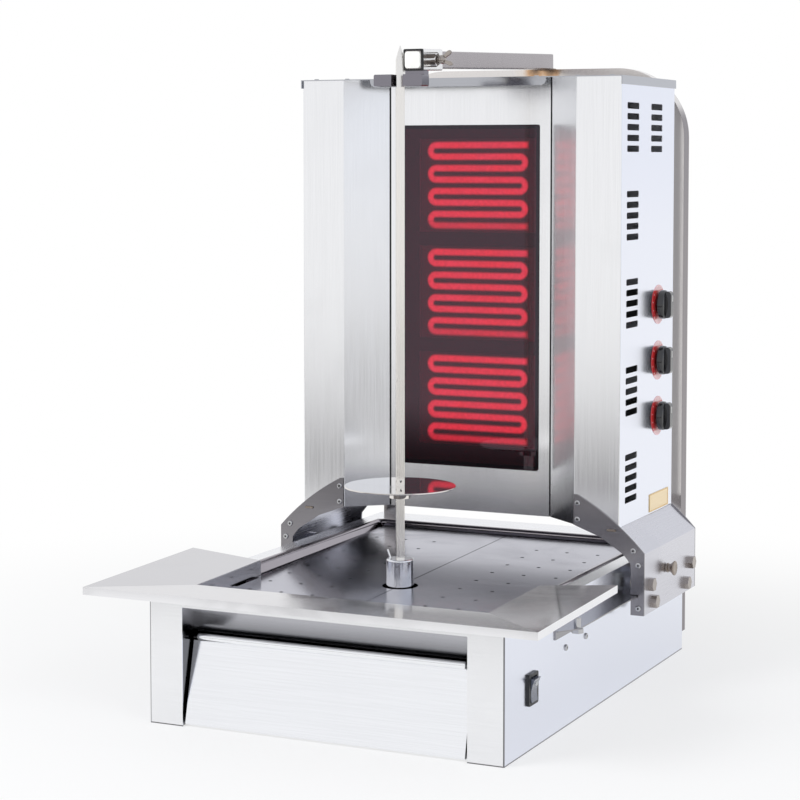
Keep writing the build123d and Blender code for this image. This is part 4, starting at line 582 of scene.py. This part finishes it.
ZONE_HEIGHTS = (0.628, 0.489, 0.350)
ZONE_RUNS = 8
RUN_PITCH = 0.0149
RIBBON_WIDTH = 0.0108
RIBBON_CROWN = 0.0005
RIBBON_STEP = 0.002
END_FADE = 0.006
END_HEAT = 0.15
LAST_RUN_HEAT = 0.7
RIBBON_GAP = 0.0002
TURN_STEPS = 12
ACROSS = (-1.0, -0.72, -0.42, 0.0, 0.42, 0.72, 1.0)
EDGE_HEAT = (0.0, 0.45, 0.9, 1.0, 0.9, 0.45, 0.0)


def ribbon_route(height, left, right):
    """Points (x, z) of one zone's ribbon: level runs joined by half circles."""
    turn = RUN_PITCH / 2
    reach = turn + RIBBON_WIDTH / 2
    top = height + RUN_PITCH * (ZONE_RUNS - 1) / 2
    route = []
    for run in range(ZONE_RUNS):
        z = top - RUN_PITCH * run
        start, end = left + reach, right - reach
        if run == 0 or run == ZONE_RUNS - 1:
            end = right
        if run % 2 == 0:
            start, end = end, start
        steps = max(2, round(abs(end - start) / RIBBON_STEP))
        route += [(start + (end - start) * step / steps, z) for step in range(steps + 1)]
        if run < ZONE_RUNS - 1:
            side = -1 if run % 2 == 0 else 1
            for step in range(1, TURN_STEPS):
                angle = math.pi / 2 - math.pi * step / TURN_STEPS
                route.append((end + side * turn * math.cos(angle), z - turn + turn * math.sin(angle)))
    return route


def glowing_ribbons():
    """One mesh of slightly crowned strips, with each point's heat as an attribute."""
    low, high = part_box("heating_elements")
    build = bmesh.new()
    heat_layer = build.verts.layers.float.new("ribbon_heat")
    for height in ZONE_HEIGHTS:
        route = ribbon_route(height, low[0], high[0])
        rows = []
        for index, (x, z) in enumerate(route):
            before, after = route[max(0, index - 1)], route[min(len(route) - 1, index + 1)]
            along = Vector((after[0] - before[0], after[1] - before[1])).normalized()
            from_end = min(index, len(route) - 1 - index) * RIBBON_STEP
            share = min(1.0, END_HEAT + from_end / END_FADE)
            if index > len(route) * (1.0 - 1.0 / ZONE_RUNS):
                share *= LAST_RUN_HEAT
            row = []
            for part, warmth in zip(ACROSS, EDGE_HEAT):
                offset = part * RIBBON_WIDTH / 2
                y = high[1] - RIBBON_GAP - RIBBON_CROWN * (1 - part * part)
                point = build.verts.new((x - along.y * offset, y, z + along.x * offset))
                point[heat_layer] = warmth * share
                row.append(point)
            rows.append(row)
        for one, two in zip(rows, rows[1:]):
            for step in range(len(ACROSS) - 1):
                build.faces.new((one[step], one[step + 1], two[step + 1], two[step]))
    piece = add_piece("glowing_ribbons", build, ribbon, "head")
    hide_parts("heating_elements")


MASK_GAP = 0.0003
MASK_THICKNESS = 0.0006
MASK_MARGIN = 0.003
MASK_OVERLAP = 0.001


def painted_heater_shade():
    """Dark sheet of painted shade behind the glass, with one window for each heater zone."""
    glass_low, glass_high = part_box("ceramic_glass")
    low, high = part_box("insulation_boards")
    near = glass_high[1] + MASK_GAP
    far = near + MASK_THICKNESS
    half = (RUN_PITCH * (ZONE_RUNS - 1) + RIBBON_WIDTH) / 2 + MASK_MARGIN
    left, right = low[0] - MASK_OVERLAP, high[0] + MASK_OVERLAP
    build = bmesh.new()
    add_box(build, (glass_low[0], near, glass_low[2]), (left, far, glass_high[2]))
    add_box(build, (right, near, glass_low[2]), (glass_high[0], far, glass_high[2]))
    edges = [glass_high[2]]
    for height in ZONE_HEIGHTS:
        edges += [height + half, height - half]
    edges.append(glass_low[2])
    for top, bottom in zip(edges[::2], edges[1::2]):
        add_box(build, (left, near, bottom), (right, far, top))
    add_piece("painted_heater_shade", build, painted_shade_board, "head", smooth=False)


# Controls

KNOB_RADIUS = 0.019
KNOB_BODY = 0.0095
RIDGE_WIDTH = 0.013
RIDGE_HEIGHT = 0.0345
RIDGE_CORNER = 0.005
RIDGE_GAP = 0.0002
KNOB_STANDOFF = 0.0025
KNOB_SHAFT_RADIUS = 0.003
KNOB_PROFILE = ((0.0, 0.0155), (0.0005, KNOB_RADIUS - 0.0008), (0.0014, KNOB_RADIUS),
                (KNOB_BODY - 0.003, KNOB_RADIUS - 0.0004), (KNOB_BODY - 0.001, KNOB_RADIUS - 0.0016),
                (KNOB_BODY, KNOB_RADIUS - 0.0042))
MARK_HALF_WIDTH = 0.0008
MARK_SPAN = (0.004, 0.012)
MARK_DEPTHS = (0.0004, 0.00005)
DIAL_TICKS = 11
DIAL_SWEEP = 270.0
TICK_SPAN = (0.0042, 0.0012)
TICK_LIFT = 0.00008
LONG_TICK_EVERY = 5


def control_knobs():
    """Three gloss knobs with a finger ridge and a white mark, in place of the plainer solids."""
    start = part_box("dial_rings")[1][0] + KNOB_STANDOFF
    for name in KNOBS:
        low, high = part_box(name)
        _, y, z = middle(name)
        build = bmesh.new()
        add_turned(build, KNOB_PROFILE, (start, y, z), "X")
        reach = high[0] - start - RIDGE_GAP
        outline = rounded_outline(reach, RIDGE_HEIGHT, RIDGE_CORNER)
        place = Vector((start + reach / 2, y, z))
        add_outline(build, outline, RIDGE_WIDTH, place, Matrix.Identity(3))
        knob = add_piece(name + "_cap", build, gloss_black, name, bevel=0.0012)
        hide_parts(name)
        shaft = bmesh.new()
        add_turned(shaft, ((low[0], KNOB_SHAFT_RADIUS), (start, KNOB_SHAFT_RADIUS)), (0.0, y, z), "X")
        add_piece(name + "_shaft", shaft, bearing_steel, name)
        mark = bmesh.new()
        add_box(mark, (high[0] - MARK_DEPTHS[0], y - MARK_HALF_WIDTH, z + MARK_SPAN[0]),
                (high[0] - MARK_DEPTHS[1], y + MARK_HALF_WIDTH, z + MARK_SPAN[1]))
        add_piece(name + "_mark", mark, mark_white, name, smooth=False)


def dial_ticks():
    """Plain heat steps printed round each dial disc."""
    low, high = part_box("dial_rings")
    build = bmesh.new()
    outer = (high[1] - low[1]) / 2
    for name in KNOBS:
        centre = Vector((high[0], middle(name)[1], middle(name)[2]))
        for tick in range(DIAL_TICKS):
            angle = math.radians(90.0 + DIAL_SWEEP / 2 - DIAL_SWEEP * tick / (DIAL_TICKS - 1))
            outward = Vector((0.0, math.cos(angle), math.sin(angle)))
            sideways = Vector((0.0, -math.sin(angle), math.cos(angle)))
            wide = 0.0006 if tick % LONG_TICK_EVERY == 0 else 0.0003
            near, far = outer - TICK_SPAN[0], outer - TICK_SPAN[1]
            corners = [(near, -wide), (far, -wide), (far, wide), (near, wide)]
            start = centre + Vector((TICK_LIFT, 0.0, 0.0))
            build.faces.new([build.verts.new(start + outward * a + sideways * b) for a, b in corners])
    add_piece("dial_ticks", build, mark_white, "head", smooth=False)


# Holder

WING_REACH = 0.0125
WING_SPREAD = 28.0
WING_ROLL = -10.0
WING_THICKNESS = 0.0034
COLLAR_GAP = 0.0035
BOSS_RADIUS = 0.0092
BOSS_TURN = 20.0
BOSS_SIDES = 6


def wing_bolt_piece():
    """Bronze-toned wing bolt: shank, collar and two short blades that open outward."""
    start_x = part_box("wing_bolt")[0][0]
    centre = middle("wing_bolt")
    axis = Vector((0.0, centre[1], centre[2]))
    build = bmesh.new()
    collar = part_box("holder_sleeve")[1][0] + COLLAR_GAP
    profile = ((start_x, 0.0038), (collar - 0.0005, 0.0040), (collar, 0.0052), (collar + 0.0012, 0.0056),
               (collar + 0.0018, 0.0048), (collar + 0.0030, 0.0058), (collar + 0.0050, 0.0052),
               (collar + 0.0062, 0.0030))
    add_turned(build, profile, axis, "X")
    blade = ((0.0, -0.0017), (WING_REACH * 0.8, -0.0027), (WING_REACH, -0.0017), (WING_REACH + 0.0006, 0.0),
             (WING_REACH, 0.0017), (WING_REACH * 0.8, 0.0027), (0.0, 0.0017))
    root = axis + Vector((collar + 0.0035, 0.0, 0.0))
    for side in (-1, 1):
        roll = Matrix.Rotation(math.radians(WING_ROLL), 3, "Y")
        lean = Matrix.Rotation(math.radians(-side * WING_SPREAD), 3, "Y")
        start = root + Vector((0.0, 0.0, side * 0.002))
        add_outline(build, blade, WING_THICKNESS, start, roll @ lean)
    piece = add_piece("wing_bolt_piece", build, zinc, "wing_bolt", bevel=0.0006)
    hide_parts("wing_bolt")


def wing_nut_boss():
    """Dark worn nut round the wing bolt, over the sleeve's welded boss."""
    centre = middle("wing_bolt")
    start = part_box("sleeve_liner")[1][0]
    build = bmesh.new()
    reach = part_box("holder_sleeve")[1][0] - start + 0.0003
    profile = ((0.0, BOSS_RADIUS), (reach - 0.0016, BOSS_RADIUS), (reach, 0.0078), (reach + 0.0001, 0.0046),
               (reach - 0.0006, 0.0043))
    place = (start, centre[1], centre[2])
    add_turned(build, profile, place, "X", math.radians(BOSS_TURN), BOSS_SIDES)
    add_piece("wing_nut_boss", build, dark_nut, "holder", bevel=0.0009)


def weld_bead(name, points, radius, body, finish):
    """Lumpy bead of weld along a line of points."""
    build = bmesh.new()
    for index, (start, end) in enumerate(zip(points, points[1:])):
        start, end = Vector(start), Vector(end)
        count = max(2, round((end - start).length / (radius * 0.8)))
        for step in range(count):
            place = start.lerp(end, step / count)
            lump = bmesh.ops.create_icosphere(build, subdivisions=2, radius=radius)["verts"]
            swell = 1.0 + 0.22 * math.sin(step * 2.3 + index)
            for point in lump:
                point.co = place + Vector((point.co.x, point.co.y, point.co.z * 0.8)) * swell
    add_piece(name, build, finish, body)


WELD_INSET = 0.0005
WELD_LIFT = 0.0004
SIDE_WELD_RADIUS = 0.0017
FRONT_WELD_RADIUS = 0.0014


def holder_welds():
    """Weld beads between the arm and the top of the rear frame."""
    near, far, top = frame_low[1] + WELD_INSET, frame_high[1] - WELD_INSET, frame_high[2]
    for side, x in (("left", arm_low[0]), ("right", arm_high[0])):
        line = [(x, near, top + WELD_LIFT), (x, far, top + WELD_LIFT)]
        weld_bead("arm_weld_" + side, line, SIDE_WELD_RADIUS, "base", bronze)
    front = [(arm_low[0] + 0.001, near, top), (arm_high[0] - 0.001, near, top)]
    weld_bead("arm_weld_front", front, FRONT_WELD_RADIUS, "base", bronze)


# Carriage, drawer, plate and switch

LIP_STRETCH = 1.36
LIP_SINK = 0.0011


def drawer_lip():
    """Rolled lip along the drawer's top, taller than it is deep, with rounded ends."""
    low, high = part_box("drawer_handle")
    centre = middle("drawer_handle")
    radius = (high[1] - low[1]) / 2
    build = bmesh.new()
    profile = [(low[0], radius * 0.35)]
    for step in range(1, 6):
        angle = math.pi / 2 * step / 5
        profile.append((low[0] + radius * (1 - math.cos(angle)), radius * math.sin(angle)))
    profile += [(-along, size) for along, size in reversed(profile)]
    add_turned(build, profile, (0.0, 0.0, 0.0), "X")
    for point in build.verts:
        point.co.y += centre[1]
        point.co.z = point.co.z * LIP_STRETCH + centre[2] + LIP_SINK
    piece = add_piece("drawer_lip", build, drawer_steel, "drawer")
    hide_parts("drawer_handle")


RIVET_PLACES = ((0.1668, 0.2318), (0.1669, 0.2112), (0.2409, 0.1768), (0.2475, 0.1589), (0.2478, 0.1050))
SLOT_PLACE = (0.212, 0.2004)
TAB_HALF = (0.0058, 0.0013)
CLAMP_PROFILE = ((0.0, 0.0060), (0.0016, 0.0062), (0.0022, 0.0050), (0.0045, 0.0052), (0.0068, 0.0068),
                 (0.0086, 0.0088), (0.0097, 0.0094), (0.0105, 0.0092), (0.0109, 0.0084),
                 (0.0105, 0.0046))
CLAMP_ROD_RADIUS = 0.0039
FOLD_SHEET = 0.0008
FOLD_GAP = 0.0026
PLATE_RIM = 0.0016


def rivet_dimples():
    """Painted shade: dark discs for the hollows in the pulled rivets' heads."""
    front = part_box("head_fixings")[0][1]
    build = bmesh.new()
    for side in (-1, 1):
        for x, z in RIVET_PLACES:
            add_turned(build, ((-0.00005, 0.0009), (0.0004, 0.0011)), (side * x, front, z), "Y", steps=16)
    add_piece("rivet_dimples", build, painted_hole_shade, "head")


def bracket_tabs():
    """Tabs of the carriage that stand through the brackets' slots."""
    front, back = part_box("carriage_brackets")[0][1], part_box("carriage_sides")[0][1]
    build = bmesh.new()
    for side in (-1, 1):
        x, z = side * SLOT_PLACE[0], SLOT_PLACE[1]
        add_box(build, (x - TAB_HALF[0], front - 0.0016, z - TAB_HALF[1]),
                (x + TAB_HALF[0], back + 0.003, z + TAB_HALF[1]))
    add_piece("bracket_tabs", build, bronze, "head", smooth=False, bevel=0.0004)


def clamp_knob_piece():
    """Flared knob on a rod, in place of the longer plain solid."""
    _, y, z = middle("clamp_knob")
    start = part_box("carriage_sides")[1][0] + 0.0012
    rod = ((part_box("clamp_knob")[0][0], CLAMP_ROD_RADIUS), (start + 0.001, CLAMP_ROD_RADIUS))
    build = bmesh.new()
    add_turned(build, CLAMP_PROFILE, (start, y, z), "X")
    add_turned(build, rod, (0.0, y, z), "X")
    piece = add_piece("clamp_knob_piece", build, bronze, "clamp_knob")
    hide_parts("clamp_knob")


def drawer_top_fold():
    """Sheet folded back from the drawer's lip up under the grip's hood."""
    lip_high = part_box("drawer_handle")[1]
    hood_foot = lip_high[2] + FOLD_GAP
    points = [(lip_high[1] - 0.0035, lip_high[2] - 0.0030), (lip_high[1] + 0.010, hood_foot),
              (lip_high[1] + 0.026, hood_foot)]
    build = bmesh.new()
    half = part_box("drawer_front")[1][0] - 0.0004
    upper = [[build.verts.new((x, y, z)) for y, z in points] for x in (-half, half)]
    lower = [[build.verts.new((x, y, z - FOLD_SHEET)) for y, z in points] for x in (-half, half)]
    for index in range(len(points) - 1):
        for rows in (upper, lower):
            build.faces.new((rows[0][index], rows[1][index], rows[1][index + 1], rows[0][index + 1]))
        for top, under in zip(upper, lower):
            build.faces.new((top[index], top[index + 1], under[index + 1], under[index]))
    for end in (0, len(points) - 1):
        build.faces.new((upper[0][end], upper[1][end], lower[1][end], lower[0][end]))
    add_piece("drawer_top_fold", build, lining_steel, "drawer", smooth=False)


def plate_border():
    """Raised rim round the bare plate."""
    low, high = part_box("blank_plate")
    face = high[0]
    foot, head = low[2] + PLATE_RIM, high[2] - PLATE_RIM
    bars = ((low[1], high[1], low[2], foot), (low[1], high[1], head, high[2]),
            (low[1], low[1] + PLATE_RIM, foot, head), (high[1] - PLATE_RIM, high[1], foot, head))
    build = bmesh.new()
    for y0, y1, z0, z1 in bars:
        add_box(build, (face - 0.0002, y0, z0), (face + 0.0003, y1, z1))
    add_piece("plate_border", build, gold_rim, "head", smooth=False)


BAR_HALF = (0.0005, 0.0022)
RING_RADII = (0.0014, 0.0022)
RING_STEPS = 24
MARK_SHARE = 0.26


def switch_marks():
    """Plain on and off marks: a bar and a ring on the rocker."""
    low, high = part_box("switch_rocker")
    centre = middle("switch_rocker")
    build = bmesh.new()
    height = high[2] - low[2]
    bar_z, ring_z = centre[2] + height * MARK_SHARE, centre[2] - height * MARK_SHARE
    face = high[0] - 0.0016
    add_box(build, (face - 0.001, centre[1] - BAR_HALF[0], bar_z - BAR_HALF[1]),
            (face + 0.0004, centre[1] + BAR_HALF[0], bar_z + BAR_HALF[1]))
    inner, outer = RING_RADII
    for step in range(RING_STEPS):
        corners = []
        for radius, after in ((inner, 0), (outer, 0), (outer, 1), (inner, 1)):
            angle = 2 * math.pi * (step + after) / RING_STEPS
            corners.append(build.verts.new((low[0] + 0.0062, centre[1] + radius * math.cos(angle),
                                            ring_z + radius * math.sin(angle))))
        build.faces.new(corners)
    add_piece("switch_marks", build, mark_white, "switch_rocker", smooth=False)


SKEWER_HALF = 0.00502
HOLE_RADIUS = 0.0016
HOLE_LIFT = 0.005
HOLE_STEPS = 20


def skewer_hole():
    """Cross hole for the disc's pin, just above the disc, drawn as flat discs of painted shade."""
    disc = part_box("meat_disc")[1][2]
    centre = middle("skewer")
    build = bmesh.new()
    for turn in (45.0, 135.0, 225.0, 315.0):
        outward = Vector((math.sin(math.radians(turn)), -math.cos(math.radians(turn)), 0.0))
        place = centre.xy.to_3d() + outward * SKEWER_HALF + Vector((0.0, 0.0, disc + HOLE_LIFT))
        ring = []
        sideways = Vector((-outward.y, outward.x, 0.0))
        upward = Vector((0.0, 0.0, 1.0))
        for step in range(HOLE_STEPS):
            angle = 2 * math.pi * step / HOLE_STEPS
            offset = sideways * math.cos(angle) + upward * math.sin(angle)
            ring.append(build.verts.new(place + offset * HOLE_RADIUS))
        build.faces.new(ring)
    add_piece("skewer_hole", build, painted_hole_shade, "spindle", smooth=False)


glowing_ribbons()
painted_heater_shade()
control_knobs()
dial_ticks()
wing_bolt_piece()
wing_nut_boss()
holder_welds()
rivet_dimples()
bracket_tabs()
clamp_knob_piece()
drawer_lip()
drawer_top_fold()
switch_marks()
skewer_hole()
plate_border()


# Studio

FLOOR_SIZE = 60.0
STRIP_START = (1.00, 1.25)
STRIP_END = (1.55, 2.80)
STRIP_COLOUR = rgb(0.14, 0.13, 0.135)
CONTACT_FADE = (0.3, 1.3)
CONTACT_SHARE = 0.62
AMBIENT_COLOUR = rgb(0.96, 0.98, 1.0)
AMBIENT_STRENGTH = 0.55
WALL_COLOUR = rgb(0.97, 0.97, 0.98)
CEILING_COLOUR = rgb(0.80, 0.82, 0.86)
COOL_SIDE = rgb(0.90, 0.935, 1.0)


def direct_rays(g, rays):
    """1 for rays from the camera, and those that metal or glass sends on; 0 for soft light."""
    seen = g.math("MAXIMUM", rays["Is Camera Ray"], rays["Is Glossy Ray"])
    return g.math("MAXIMUM", seen, rays["Is Transmission Ray"])


def studio_floor():
    """White sweep: bright near the grill, with a dim strip of room in front that only metal shows."""
    mesh = bpy.data.meshes.new("studio_floor")
    build = bmesh.new()
    bmesh.ops.create_grid(build, x_segments=1, y_segments=1, size=FLOOR_SIZE / 2)
    build.to_mesh(mesh)
    build.free()
    floor = bpy.data.objects.new("studio_floor", mesh)
    bpy.context.scene.collection.objects.link(floor)
    g = Graph("studio_floor")
    forward = g.math("MULTIPLY", g.place["Y"], -1.0)
    start = g.remap(forward, *STRIP_START, 0.0, 1.0)
    end = g.remap(forward, *STRIP_END, 1.0, 0.0)
    rays = g.node("LightPath").outputs
    mirrored = g.mix(g.math("MULTIPLY", start, end), WHITE, STRIP_COLOUR)
    colour = g.mix(rays["Is Camera Ray"], mirrored, WHITE)
    glow = g.node("Emission", {"Color": colour, "Strength": 1.0})
    centre = g.distance_to((0.0, 0.0, 0.0))
    share = g.math("MULTIPLY", direct_rays(g, rays), g.remap(centre, *CONTACT_FADE, CONTACT_SHARE, 1.0))
    g.set(Base_Color=rgb(0.90, 0.90, 0.91), Roughness=0.7)
    g.blend(share, g.shader.outputs["BSDF"], glow.outputs["Emission"],
            g.tree.nodes["Material Output"].inputs["Surface"])
    mesh.materials.append(g.material)


def studio_world():
    """Even grey light, white behind the grill, and soft pale walls in the metal's reflections."""
    world = bpy.data.worlds.new("studio")
    bpy.context.scene.world = world
    world.use_nodes = True
    g = Nodes(world.node_tree)
    light = g.tree.nodes["Background"]
    g.feed(light.inputs["Color"], AMBIENT_COLOUR)
    g.feed(light.inputs["Strength"], AMBIENT_STRENGTH)
    rays = g.node("LightPath").outputs
    toward = g.node("SeparateXYZ", {"Vector": g.node("TexCoord").outputs["Generated"]}).outputs
    room = g.mix(toward["Z"], WALL_COLOUR, CEILING_COLOUR)
    room = g.mix(toward["X"], room, COOL_SIDE, "MULTIPLY")
    shown = g.node("Background", {"Color": g.mix(rays["Is Camera Ray"], room, WHITE), "Strength": 1.0})
    g.blend(direct_rays(g, rays), light.outputs["Background"], shown.outputs["Background"],
            g.tree.nodes["World Output"].inputs["Surface"])


def area_light(name, place, target, size, energy, colour=(1.0, 1.0, 1.0)):
    data = bpy.data.lights.new(name, "AREA")
    data.shape = "RECTANGLE"
    data.size, data.size_y = size
    data.energy = energy
    data.color = colour
    lamp = bpy.data.objects.new(name, data)
    bpy.context.scene.collection.objects.link(lamp)
    lamp.location = place
    aim = Vector(target) - Vector(place)
    lamp.rotation_euler = aim.to_track_quat("-Z", "Y").to_euler()
    lamp.visible_glossy = False


def studio_camera():
    data = bpy.data.cameras.new("camera")
    data.sensor_width = SENSOR_WIDTH
    data.lens = FOCAL_PIXELS * SENSOR_WIDTH / PHOTO_PIXELS
    data.shift_y = CAMERA_SHIFT
    camera = bpy.data.objects.new("camera", data)
    bpy.context.scene.collection.objects.link(camera)
    camera.location = CAMERA_PLACE
    camera.rotation_euler = (math.radians(90.0 - CAMERA_PITCH), 0.0, math.radians(CAMERA_AZIMUTH))
    bpy.context.scene.camera = camera


LIGHT_TARGET = (0.0, 0.0, 0.3)
LIGHT_SIZE = (1.6, 1.6)

studio_floor()
studio_world()
area_light("key_light", (-1.6, -2.2, 2.2), LIGHT_TARGET, LIGHT_SIZE, 55.0)
area_light("fill_light", (2.4, -1.4, 1.6), LIGHT_TARGET, LIGHT_SIZE, 30.0, (0.95, 0.97, 1.0))
studio_camera()
bpy.context.scene.view_settings.view_transform = "Standard"
